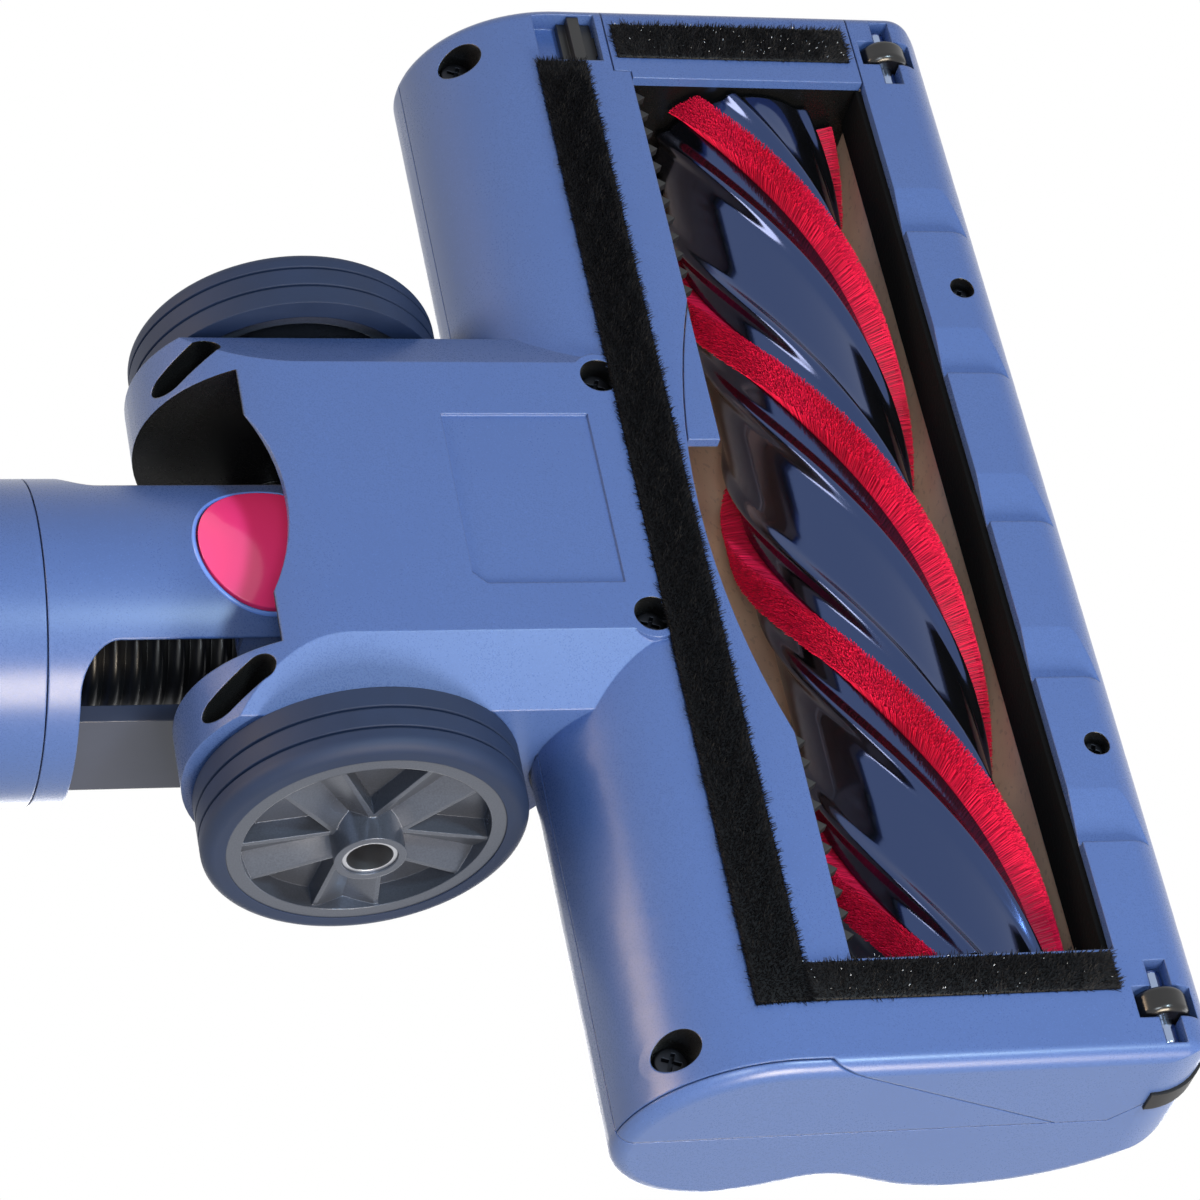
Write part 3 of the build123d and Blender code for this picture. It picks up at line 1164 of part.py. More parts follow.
def pieces():
    """Every piece of the head by name."""
    named = {
        "sole_housing": sole_housing(),
        "top_shell": top_shell(),
        "front_bumper": front_bumper(),
        "throat_lip": throat_lip(),
        "belt_cover": belt_cover(),
        "end_cap": end_cap(),
        "latch_slider": latch_slider(),
        "brush_tunnel": brush_tunnel(),
        "front_liner": front_liner(),
        "cap_comb": hair_comb(WINDOW_CAP_Y + CAP_WALL + COMB_MARGIN, DUCT_MOUTH_Y[0] - COMB_MARGIN),
        "drive_comb": hair_comb(DUCT_MOUTH_Y[1] + COMB_MARGIN, WINDOW_DRIVE_Y - COMB_MARGIN),
        "suction_duct": suction_duct(),
        "hose_inlet": hose_inlet(),
        "rear_plush": plush_strip((PLUSH_REAR_X, PLUSH_FRONT_X), (PLUSH_CAP_Y, PLUSH_DRIVE_Y)),
        "side_plush": plush_strip((PLUSH_FRONT_X, SIDE_PLUSH_END_X), (SIDE_PLUSH_Y, PLUSH_DRIVE_Y)),
        "cap_plush": plush_strip(CAP_PLUSH_X, CAP_PLUSH_Y),
        "sole_screws": sole_screws(),
        "front_screws": front_screws(),
        "brush_core": brush_core(),
        "drive_bearing": bearing((BRACKET_Y, BRACKET_Y + BEARING_WIDTH)),
        "cap_bearing": bearing((CAP_JOURNAL_END_Y, CAP_JOURNAL_END_Y + BEARING_WIDTH)),
        "drive_bracket": drive_bracket(),
        "drive_motor": drive_motor(),
        "motor_shaft": motor_shaft(),
        "motor_pulley": pulley(MOTOR_X, MOTOR_HEIGHT, MOTOR_PULLEY_R, MOTOR_SHAFT_R),
        "brush_pulley": pulley(BRUSH_X, BRUSH_HEIGHT, BRUSH_PULLEY_R, JOURNAL_R),
        "drive_belt": drive_belt(),
        "circuit_board": circuit_board(),
        "neck_shell": neck_shell(),
        "release_button": release_button(),
        "button_spring": button_spring(),
        "suction_hose": suction_hose(),
        "swivel_collar": swivel_collar(),
    }
    for number in range(STRIP_COUNT):
        named[f"bristle_strip_{number + 1}"] = bristle_strip(number)
    for word, side in (("left", 1), ("right", -1)):
        named[f"yoke_cap_{word}"] = yoke_cap(side)
        named[f"pivot_pin_{word}"] = pivot_pin(side)
        named[f"fork_arm_{word}"] = fork_arm(side)
        named[f"wheel_axle_{word}"] = wheel_axle(side)
        named[f"wheel_hub_{word}"] = wheel_hub(side)
        named[f"tyre_{word}"] = tyre(side)
        named[f"castor_axle_{word}"] = castor_axle(side)
        named[f"castor_wheel_{word}"] = castor_wheel(side)
    return named


os.makedirs("parts", exist_ok=True)
for name, piece in pieces().items():
    export_step(Pos(-ORIGIN_X, 0, 0) * piece, f"parts/{name}.step")
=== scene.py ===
"""Finish of a motorised vacuum floor head: bristles, pile, hose, screws, button, materials and stage."""

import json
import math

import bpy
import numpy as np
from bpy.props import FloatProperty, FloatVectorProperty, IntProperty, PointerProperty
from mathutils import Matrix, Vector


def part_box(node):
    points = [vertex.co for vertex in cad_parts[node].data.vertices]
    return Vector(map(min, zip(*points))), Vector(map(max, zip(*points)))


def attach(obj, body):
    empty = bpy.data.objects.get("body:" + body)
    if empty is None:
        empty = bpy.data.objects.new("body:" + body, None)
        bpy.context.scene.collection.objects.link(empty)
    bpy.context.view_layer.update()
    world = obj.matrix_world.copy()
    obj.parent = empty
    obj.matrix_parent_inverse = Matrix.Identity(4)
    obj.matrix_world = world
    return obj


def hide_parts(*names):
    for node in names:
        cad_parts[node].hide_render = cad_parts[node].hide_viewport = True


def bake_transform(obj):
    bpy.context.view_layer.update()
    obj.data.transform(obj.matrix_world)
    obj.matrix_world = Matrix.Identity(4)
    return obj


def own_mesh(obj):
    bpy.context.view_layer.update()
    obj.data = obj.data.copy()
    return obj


bl_info = {
    "name": "Floor head finish",
    "version": (1, 0, 0),
    "blender": (4, 5, 0),
    "location": "View3D > Sidebar > Floor head",
    "description": "Dresses the floor head's solids with bristles, pile, a corrugated hose and finishes",
    "category": "Object",
}

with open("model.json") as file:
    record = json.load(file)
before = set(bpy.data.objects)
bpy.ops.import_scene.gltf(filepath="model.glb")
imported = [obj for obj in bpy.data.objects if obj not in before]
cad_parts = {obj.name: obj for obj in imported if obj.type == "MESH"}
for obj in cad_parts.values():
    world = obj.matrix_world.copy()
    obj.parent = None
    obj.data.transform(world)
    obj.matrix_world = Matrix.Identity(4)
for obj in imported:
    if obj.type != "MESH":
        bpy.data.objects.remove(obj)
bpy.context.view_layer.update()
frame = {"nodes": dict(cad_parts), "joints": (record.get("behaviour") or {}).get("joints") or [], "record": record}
NODES = frame["nodes"]
JOINTS = {joint["name"]: joint for joint in frame["joints"]}
SLOT_OF = {row["node"]: row["material_slot"] for row in frame["record"]["subparts"]}
MM = 0.001

BRUSH_AXIS = Vector(JOINTS["brush_spin"]["pos_m"])
PIVOT = Vector(JOINTS["neck_tilt"]["pos_m"])
STRIPS = sorted(node for node in NODES if node.startswith("bristle_strip"))
STRIP_LOW, STRIP_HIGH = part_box(STRIPS[0])

# Helix of the brush, as turned by the drive
STRIP_PITCH = 201.0 * MM
STRIP_START = math.radians(15.5)
STRIP_STEP = math.tau / len(STRIPS)


def srgb(red, green, blue):
    """Linear colour of a display colour given in 0 to 255."""
    return tuple(
        value / 12.92 if value <= 0.04045 else ((value + 0.055) / 1.055) ** 2.4
        for value in (red / 255, green / 255, blue / 255))


def tone(label, colour, text):
    return FloatVectorProperty(
        name=label, description=text, default=colour, size=3, min=0.0, max=1.0, subtype="COLOR")


def length(label, value, text):
    return FloatProperty(name=label, description=text, default=value, min=0.0, unit="LENGTH", precision=5)


class FloorHeadColours(bpy.types.PropertyGroup):
    """Base colours of the floor head's finishes."""

    housing: tone("Housing", srgb(68, 93, 149), "Satin plastic of the shells, the neck and the collar")
    bristle: tone("Bristle", srgb(212, 18, 64), "Nylon of the bristle strips")
    # The button's own red, lightened towards pink as a painted reflection of a blue sky
    button: tone("Button", srgb(255, 62, 128), "Glossy release button")
    pile: tone("Pile", srgb(12, 13, 18), "Plush strips on the sole")
    hub: tone("Hub", srgb(80, 86, 99), "Wheel hubs")
    tyre: tone("Tyre", srgb(25, 38, 64), "Tyres and castor wheels")
    # Painted light: the duct's brown is lightened to stand for light reaching into the throat
    duct: tone("Duct", srgb(250, 200, 170), "Smoked brown tunnel and duct")
    black: tone("Black", srgb(17, 17, 19), "Black plastic and rubber")


class FloorHeadSizes(bpy.types.PropertyGroup):
    """Sizes of the pieces that the finish adds."""

    bristle_width: length("Bristle width", 0.28 * MM, "Width of one bristle at its root")
    bristle_spacing: length("Bristle spacing", 0.35 * MM, "Distance between bristles")
    pile_width: length("Pile width", 0.22 * MM, "Width of one pile fibre at its root")
    pile_spacing: length("Pile spacing", 0.31 * MM, "Distance between pile fibres")
    pile_spread: length("Pile spread", 0.9 * MM, "How far the pile leans out past its strip")
    hose_segments: IntProperty(
        name="Hose segments", description="Faces round the hose", default=64, min=12, max=128)
    core_rings: IntProperty(
        name="Core rings", description="Rings along the brush core", default=130, min=20, max=300)


class Signal:
    """A shader socket on which Python's operators add Math nodes."""

    def __init__(self, shade, socket):
        self.shade = shade
        self.socket = socket

    def math(self, operation, other=0.0):
        return self.shade.add("ShaderNodeMath", {"operation": operation}, {0: self, 1: other})

    def __add__(self, other):
        return self.math("ADD", other)

    __radd__ = __add__

    def __sub__(self, other):
        return self.math("SUBTRACT", other)

    def __mul__(self, other):
        return self.math("MULTIPLY", other)

    def __gt__(self, other):
        return self.math("GREATER_THAN", other)

    def __lt__(self, other):
        return self.math("LESS_THAN", other)

    def __abs__(self):
        return self.math("ABSOLUTE")

    def __pow__(self, other):
        return self.math("POWER", other)


class Shade:
    """Node tree of one material, or of the world."""

    def __init__(self, name, kind="materials"):
        self.block = getattr(bpy.data, kind).new(name)
        self.block.use_nodes = True
        self.tree = self.block.node_tree
        self.tree.nodes.clear()

    def add(self, kind, settings=None, sockets=None, out=0):
        """Adds a node with its settings and its sockets' values or links; gives one of its outputs."""
        node = self.tree.nodes.new(kind)
        for key, value in (settings or {}).items():
            setattr(node, key, value)
        for key, value in (sockets or {}).items():
            socket = self.find(node.inputs, key)
            if isinstance(value, Signal):
                self.tree.links.new(value.socket, socket)
            else:
                socket.default_value = value
        return Signal(self, self.find(node.outputs, out)) if node.outputs else None

    def find(self, sockets, key):
        if isinstance(key, int):
            return sockets[key]
        return next(socket for socket in sockets if key in (socket.identifier, socket.name))

    def place(self):
        return self.add("ShaderNodeTexCoord", out="Object")

    def outputs(self, signal):
        """All outputs of the node that a signal comes from."""
        return [Signal(self, socket) for socket in signal.socket.node.outputs]

    def axes(self):
        """Object coordinates along X, Y and Z."""
        return self.outputs(self.add("ShaderNodeSeparateXYZ", None, {0: self.place()}))

    def noise(self, scale, detail=2.0):
        sockets = {"Vector": self.place(), "Scale": scale, "Detail": detail}
        return self.add("ShaderNodeTexNoise", None, sockets, "Fac")

    def mix(self, factor, first, second):
        """Colour between two colours."""
        sockets = {"Factor_Float": factor}
        for key, colour in (("A_Color", first), ("B_Color", second)):
            sockets[key] = colour if isinstance(colour, Signal) else (*colour, 1.0)
        return self.add("ShaderNodeMix", {"data_type": "RGBA"}, sockets, "Result_Color")

    def bump(self, height, strength, distance, edge=0.0):
        """Normal with a relief, over edges softened by a small radius."""
        sockets = {"Height": height, "Strength": strength, "Distance": distance}
        if edge:
            sockets["Normal"] = self.add("ShaderNodeBevel", {"samples": 6}, {"Radius": edge})
        return self.add("ShaderNodeBump", None, sockets)

    def surface(self, colour, roughness, normal=None, **constant):
        """Principled surface; what is the same all over is set on its own sockets."""
        sockets = {
            "Base Color": colour if isinstance(colour, Signal) else (*colour, 1.0),
            "Roughness": roughness}
        if normal is not None:
            sockets["Normal"] = normal
        sockets.update({key.replace("_", " "): value for key, value in constant.items()})
        shader = self.add("ShaderNodeBsdfPrincipled", None, sockets)
        self.add("ShaderNodeOutputMaterial", None, {"Surface": shader})
        return self.block


def scaled(colour, share):
    return tuple(min(1.0, value * share) for value in colour)


# Finishes

SCREW_REACH = 8.0 * MM
# Black painted shade for recesses that lie in shade
HOLLOW_PAINTED_SHADE = srgb(9, 9, 10)
CAP_INSIDE_Y = -106.8 * MM
CAP_INSIDE_Z = 3.8 * MM
YOKE_ROOM_X = 9.5 * MM
YOKE_ROOM_HALF = 31.25 * MM
YOKE_ROOM_Z = 3.95 * MM
SLOT_X = -50.05 * MM
SLOT_Y = 37.2 * MM
SLOT_SLANT = math.radians(30.0)
SLOT_HALF = 3.9 * MM
SLOT_R = 2.65 * MM
SLOT_TOP = 24.1 * MM
WELL_R = {"sole_screws": 3.8 * MM, "front_screws": 2.55 * MM}
# Tint above which a fibre tip is painted as a highlight
PAINTED_GLINT_TINT = 0.8


def screw_places(node):
    """Centre, head radius, underside and top of each screw of a node."""
    points = np.array([vertex.co for vertex in NODES[node].data.vertices])
    left = np.ones(len(points), bool)
    while left.any():
        seed = points[left][0]
        near = np.hypot(points[:, 0] - seed[0], points[:, 1] - seed[1]) < SCREW_REACH
        own = points[near]
        left &= ~near
        centre = ((own.min(0) + own.max(0)) / 2).tolist()
        radius = float(own[:, 0].max() - own[:, 0].min()) / 2
        yield centre, radius, float(own[:, 2].min()), float(own[:, 2].max())


def cap_inside_painted_shade(shade):
    """Mask of the end cap's inner wall, above its plate, where shade is painted black."""
    along, height = shade.axes()[1:]
    return (along > CAP_INSIDE_Y) * (height > CAP_INSIDE_Z)


def sole_hollows_painted_shade(shade):
    """Mask of the screw wells, the arms' slots and the room between the arms, where shade is painted black."""
    x, y, z = shade.axes()
    mask = (x < YOKE_ROOM_X) * (abs(y) < YOKE_ROOM_HALF) * (z > YOKE_ROOM_Z)
    for node, radius in WELL_R.items():
        for centre, *_ in screw_places(node):
            mask += ((x - centre[0]) ** 2.0 + (y - centre[1]) ** 2.0) < radius ** 2
    for side in (SLOT_Y, -SLOT_Y):
        ahead, aside = x - SLOT_X, y - side
        along = abs(ahead * math.cos(SLOT_SLANT) - aside * math.sin(SLOT_SLANT)) - SLOT_HALF
        past = along.math("MAXIMUM", 0.0)
        away = ahead * math.sin(SLOT_SLANT) + aside * math.cos(SLOT_SLANT)
        mask += ((past ** 2.0 + away ** 2.0) < SLOT_R ** 2) * (z < SLOT_TOP)
    return mask


def fleck_plastic(name, colour, painted_shade_mask=None):
    """Satin moulded plastic with fine metallic flecks, and black painted shade where a mask marks shaded recesses.
    """
    shade = Shade(name)
    cells = shade.add(
        "ShaderNodeTexVoronoi", None, {"Vector": shade.place(), "Scale": 5200.0}, "Color")
    speck = shade.add("ShaderNodeSeparateColor", None, {0: cells}, "Red")
    cloud = shade.noise(scale=38.0, detail=3.0)
    body = shade.mix(speck, scaled(colour, 0.93), scaled(colour, 1.07))
    body = shade.mix((cloud - 0.5) * 0.4, body, scaled(colour, 0.8))
    body = shade.mix((speck > 0.985) * 0.2, body, scaled(colour, 1.8))
    if painted_shade_mask:
        # Painted shade: the masked recesses are painted black
        body = shade.mix(painted_shade_mask(shade), body, HOLLOW_PAINTED_SHADE)
    roughness = 0.26 + (cloud - 0.5) * 0.12 + speck * 0.08
    grain = shade.noise(scale=1500.0, detail=1.0)
    normal = shade.bump(grain, strength=0.10, distance=0.05 * MM, edge=0.45 * MM)
    return shade.surface(
        body, roughness, normal, Specular_IOR_Level=0.42, Sheen_Weight=0.05, Sheen_Roughness=0.4,
        Sheen_Tint=(1.0, 0.96, 0.92, 1.0))


def satin_plastic(name, colour, roughness, edge=0.3 * MM):
    """Plain moulded plastic with a faint grain."""
    shade = Shade(name)
    cloud = shade.noise(scale=60.0, detail=3.0)
    body = shade.mix(cloud, scaled(colour, 0.85), scaled(colour, 1.2))
    grain = shade.noise(scale=900.0, detail=2.0)
    normal = shade.bump(grain, strength=0.12, distance=0.06 * MM, edge=edge)
    return shade.surface(body, roughness + (cloud - 0.5) * 0.16, normal)


def gloss_plastic(name, colour, roughness, **constant):
    """Polished plastic with a faint waviness and a few rubbed spots."""
    shade = Shade(name)
    cloud = shade.noise(scale=45.0, detail=4.0)
    body = shade.mix(cloud, scaled(colour, 0.9), scaled(colour, 1.1))
    waviness = shade.noise(scale=70.0, detail=1.0)
    normal = shade.bump(waviness, strength=0.06, distance=0.25 * MM, edge=0.4 * MM)
    return shade.surface(body, roughness + (cloud ** 3.0) * 0.2, normal, **constant)


def smoked_plastic(name, colour):
    """Brown translucent-looking plastic with a dusty bloom."""
    shade = Shade(name)
    dust = shade.noise(scale=90.0, detail=6.0)
    grain = shade.noise(scale=700.0, detail=3.0)
    body = shade.mix(dust, scaled(colour, 0.7), scaled(colour, 1.25))
    body = shade.mix((grain > 0.62) * 0.35, body, scaled(colour, 0.5))
    normal = shade.bump(grain, strength=0.25, distance=0.12 * MM, edge=0.3 * MM)
    return shade.surface(body, 0.38 + dust * 0.25, normal, Specular_IOR_Level=0.4)


def rubber(name, colour, roughness=0.6):
    """Matte rubber with a fine stipple and a little dust."""
    shade = Shade(name)
    dust = shade.noise(scale=110.0, detail=5.0)
    stipple = shade.noise(scale=2200.0, detail=2.0)
    body = shade.mix(dust, scaled(colour, 0.8), scaled(colour, 1.35))
    normal = shade.bump(stipple, strength=0.22, distance=0.07 * MM, edge=0.35 * MM)
    return shade.surface(body, roughness + (dust - 0.5) * 0.2, normal, Specular_IOR_Level=0.3)


def felt(name, colour):
    """Soft pressed felt."""
    shade = Shade(name)
    tuft = shade.noise(scale=1400.0, detail=6.0)
    body = shade.mix(tuft, scaled(colour, 0.5), scaled(colour, 1.6))
    normal = shade.bump(tuft, strength=0.7, distance=0.3 * MM)
    return shade.surface(body, 0.95, normal, Specular_IOR_Level=0.1)


def metal(name, colour, roughness, brush_scale=400.0):
    """Bare or plated metal with fine drawn lines."""
    shade = Shade(name)
    cloud = shade.noise(scale=80.0, detail=4.0)
    lines = shade.noise(scale=brush_scale, detail=3.0)
    body = shade.mix(cloud, scaled(colour, 0.88), scaled(colour, 1.06))
    normal = shade.bump(lines, strength=0.10, distance=0.05 * MM, edge=0.25 * MM)
    return shade.surface(body, roughness + (cloud - 0.5) * 0.12, normal, Metallic=1.0)


def hub_plastic(name, colour):
    """Silver-grey lacquered plastic."""
    shade = Shade(name)
    cloud = shade.noise(scale=70.0, detail=4.0)
    speck = shade.noise(scale=3000.0, detail=1.0)
    body = shade.mix(speck, scaled(colour, 0.75), scaled(colour, 1.3))
    normal = shade.bump(speck, strength=0.08, distance=0.05 * MM, edge=0.3 * MM)
    return shade.surface(body, 0.30 + (cloud - 0.5) * 0.16, normal, Metallic=0.55)


def fibre(name, colour, dark, bright, painted_highlight_colour=None, **constant):
    """Fibres whose tone comes from the piece's own tint attribute: painted shade at the roots, and painted glints
    at the brightest tips when a colour for them is given.
    """
    shade = Shade(name)
    tint = shade.add("ShaderNodeAttribute", {"attribute_name": "tint"}, None, "Fac")
    body = shade.mix(tint, scaled(colour, dark), scaled(colour, bright))
    if painted_highlight_colour:
        # Painted highlight: the brightest fibre tips take a light colour
        body = shade.mix(tint > PAINTED_GLINT_TINT, body, painted_highlight_colour)
    return shade.surface(body, 0.55 + tint * 0.2, **constant)


def board_varnish(name, colour):
    """Varnished circuit board with faint tracks."""
    shade = Shade(name)
    tracks = shade.add(
        "ShaderNodeTexBrick", None,
        {"Vector": shade.place(), "Scale": 260.0, "Mortar Size": 0.06, "Color1": (*scaled(colour, 0.8), 1.0),
         "Color2": (*colour, 1.0), "Mortar": (*scaled(colour, 1.9), 1.0)}, "Color")
    return shade.surface(tracks, 0.25 + shade.noise(120.0) * 0.1)


# Making pieces

FIBRE_SIDES = 3
FIBRE_POINTS = 2 * FIBRE_SIDES
FIBRE_SKEW = (0.31, 0.52, 0.79)
SMOOTH = math.radians(40.0)
FIBRE_SMOOTH = math.radians(60.0)
HOSE_SMOOTH = math.radians(50.0)
SCREW_SMOOTH = math.radians(35.0)


def add_piece(name, points, faces, material, smooth=SMOOTH):
    """New piece from points and faces, shaded smooth below an angle."""
    mesh = bpy.data.meshes.new(name)
    mesh.from_pydata(points, [], faces)
    mesh.materials.append(material)
    mesh.validate()
    piece = bpy.data.objects.new(name, mesh)
    bpy.context.scene.collection.objects.link(piece)
    select_only(piece)
    bpy.ops.object.shade_smooth_by_angle(angle=smooth)
    return piece


def select_only(piece):
    bpy.ops.object.select_all(action="DESELECT")
    piece.select_set(True)
    bpy.context.view_layer.objects.active = piece


def recalculate(piece):
    """Points the faces of a closed piece outwards."""
    select_only(piece)
    bpy.ops.object.mode_set(mode="EDIT")
    bpy.ops.mesh.select_all(action="SELECT")
    bpy.ops.mesh.normals_make_consistent(inside=False)
    bpy.ops.object.mode_set(mode="OBJECT")


def stand_for(piece, body, *nodes):
    """Puts the piece on a body in place of CAD nodes, and hides those nodes."""
    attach(piece, body)
    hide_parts(*nodes)


def paint(material, *slots):
    """Gives a finish to every CAD node of the slots."""
    paint_nodes(material, *(node for node, slot in SLOT_OF.items() if slot in slots))


def paint_nodes(material, *nodes):
    """Gives a finish to CAD nodes by their names."""
    for node in nodes:
        for place in NODES[node].material_slots:
            place.material = material


def rings_to_faces(rings, around):
    """Quads between rings of `around` points each."""
    faces = []
    for ring in range(rings - 1):
        low = ring * around
        for step in range(around):
            after = (step + 1) % around
            faces.append((low + step, low + after, low + around + after, low + around + step))
    return faces


def tube_faces(rings, around):
    """Quads between rings of `around` points each, and a face over each end."""
    first_end = tuple(range(around))[::-1]
    last_end = tuple(range((rings - 1) * around, rings * around))
    return [*rings_to_faces(rings, around), first_end, last_end]


def turn_at(y):
    """How far the brush's section has turned at a place along its axis."""
    return STRIP_START - math.tau * (y - STRIP_LOW.y) / STRIP_PITCH


def on_brush(radius, angle, y):
    """Points about the brush's axis, from radii, angles and places along it."""
    radius, angle, y = np.broadcast_arrays(radius, angle, y)
    return np.stack(
        [BRUSH_AXIS.x + radius * np.cos(angle), y, BRUSH_AXIS.z - radius * np.sin(angle)], axis=-1)


def across(radius, offset):
    """Radius and angle of a point at a distance along a strip's middle line and an offset to its side."""
    return np.hypot(radius, offset), np.arctan2(offset, radius)


def spikes(roots, tips, width, blunt):
    """Three-sided fibres from roots to tips; `blunt` is the tip's share of the root's width."""
    along = tips - roots
    along = along / np.linalg.norm(along, axis=1, keepdims=True)
    side = np.cross(along, FIBRE_SKEW)
    side = side / np.linalg.norm(side, axis=1, keepdims=True)
    other = np.cross(along, side)
    corners = []
    for end, share in ((roots, 1.0), (tips, blunt)):
        for number in range(FIBRE_SIDES):
            angle = math.tau * number / FIBRE_SIDES
            corners.append(end + (math.cos(angle) * side + math.sin(angle) * other) * width / 2 * share)
    count = len(roots)
    points = np.stack(corners, axis=1).reshape(-1, 3)
    base = np.arange(count)[:, None] * FIBRE_POINTS
    sides = [base + np.array(quad) for quad in ((0, 1, 4, 3), (1, 2, 5, 4), (2, 0, 3, 5))]
    faces = [tuple(face) for side in sides for face in side.tolist()]
    faces += [tuple(face) for face in (base + np.array((3, 4, 5))).tolist()]
    return points, faces


def set_tint(piece, plain, shade, root_painted_shade):
    """Stores a tone for each point: 0 on the first `plain` points, then each fibre's, darker at its root as
    painted shade between the fibres.
    """
    shades = np.repeat(shade, FIBRE_POINTS).reshape(-1, FIBRE_POINTS)
    # Painted shade: roots darker than tips
    shades[:, :FIBRE_SIDES] *= root_painted_shade
    attribute = piece.data.attributes.new("tint", "FLOAT", "POINT")
    values = np.concatenate([np.zeros(plain), shades.ravel()])
    attribute.data.foreach_set("value", values.astype(np.float32))


def join_lists(parts):
    """Points and faces of several meshes as one."""
    points, faces = [], []
    for some_points, some_faces in parts:
        first = len(points)
        points += [tuple(point) for point in np.asarray(some_points).tolist()]
        faces += [tuple(corner + first for corner in face) for face in some_faces]
    return points, faces


# Brush

CORE_R = 16.6 * MM
RIDGE_HEIGHT = 1.5 * MM
RIDGE_ANGLE = math.radians(30.0)
RIDGE_HALF = math.radians(9.0)
CHANNEL_DEPTH_R = 14.2 * MM
CHANNEL_HALF = 3.05 * MM
JOURNAL_R = 4.0 * MM
PLAIN_STEPS = 7
RIDGE_STEPS = 13


def core_section():
    """Radii and angles round the core: a channel for each strip, a rounded ridge on either side of it."""
    edge = math.asin(CHANNEL_HALF / CORE_R)
    floor = math.atan2(CHANNEL_HALF, CHANNEL_DEPTH_R)
    radii, angles = [CHANNEL_DEPTH_R], [floor]
    reached = edge
    for ridge in (RIDGE_ANGLE, STRIP_STEP - RIDGE_ANGLE):
        plain = np.linspace(reached, ridge - RIDGE_HALF, PLAIN_STEPS, endpoint=False)
        share = np.linspace(-1.0, 1.0, RIDGE_STEPS, endpoint=False)
        radii += [CORE_R] * PLAIN_STEPS
        radii += (CORE_R + RIDGE_HEIGHT * (0.5 + 0.5 * np.cos(math.pi * share))).tolist()
        angles += plain.tolist() + (ridge + share * RIDGE_HALF).tolist()
        reached = ridge + RIDGE_HALF
    radii += [CORE_R] * PLAIN_STEPS + [CHANNEL_DEPTH_R]
    angles += np.linspace(reached, STRIP_STEP - edge, PLAIN_STEPS).tolist() + [STRIP_STEP - floor]
    starts = np.arange(len(STRIPS)) * STRIP_STEP
    return np.tile(radii, len(STRIPS)), np.concatenate([start + np.array(angles) for start in starts])


class FLOORHEAD_OT_core(bpy.types.Operator):
    """Model the brush core with its helical channels and ridges"""

    bl_idname = "floor_head.core"
    bl_label = "Brush core"

    def execute(self, context):
        look = context.scene.floor_head_colours
        sizes = context.scene.floor_head_sizes
        radii, angles = core_section()
        around = len(radii)
        low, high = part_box("brush_core")
        ends = [(low.y, JOURNAL_R), (STRIP_LOW.y, JOURNAL_R)]
        rings = [on_brush(radius, angles + turn_at(STRIP_LOW.y), y) for y, radius in ends]
        for y in np.linspace(STRIP_LOW.y, STRIP_HIGH.y, sizes.core_rings):
            rings.append(on_brush(radii, angles + turn_at(y), y))
        for y in (STRIP_HIGH.y, high.y):
            rings.append(on_brush(JOURNAL_R, angles + turn_at(STRIP_HIGH.y), y))
        points = np.concatenate(rings)
        faces = tube_faces(len(rings), around)
        # Painted reflection: a blue specular tint colours the core's reflections as a mirrored blue sky
        finish = gloss_plastic(
            "core_gloss", scaled(look.black, 0.6), 0.10, IOR=2.0, Specular_IOR_Level=0.7,
            Specular_Tint=(0.24, 0.38, 0.92, 1.0))
        core = add_piece("brush_core_gloss", points.tolist(), faces, finish)
        recalculate(core)
        stand_for(core, "brush", "brush_core")
        return {"FINISHED"}


BACKING_TOP_R = 19.6 * MM
BACKING_HALF = 2.75 * MM
BRISTLE_ROOT_R = 16.0 * MM
BRISTLE_TIP_R = 20.95 * MM
BRISTLE_ROOT_HALF = 2.75 * MM
BRISTLE_TIP_HALF = 3.7 * MM
BACKING_RINGS = 120
BACKING_CROWN = 0.3 * MM
BRISTLE_MARGIN = 0.2 * MM
ROW_JITTER = 0.35
COLUMN_JITTER = 0.3
BRISTLE_UNEVEN = 0.25 * MM
BRISTLE_EDGE_DROP = 0.6 * MM
BRISTLE_LEAN_ACROSS = 0.07
BRISTLE_LEAN_ALONG = 0.10
BRISTLE_BLUNT = 0.7
BRISTLE_SEED = 11
BRISTLE_DARKEST = 0.15
# Painted shade: a bristle's root tone against its tip
BRISTLE_ROOT_PAINTED_SHADE = 0.45


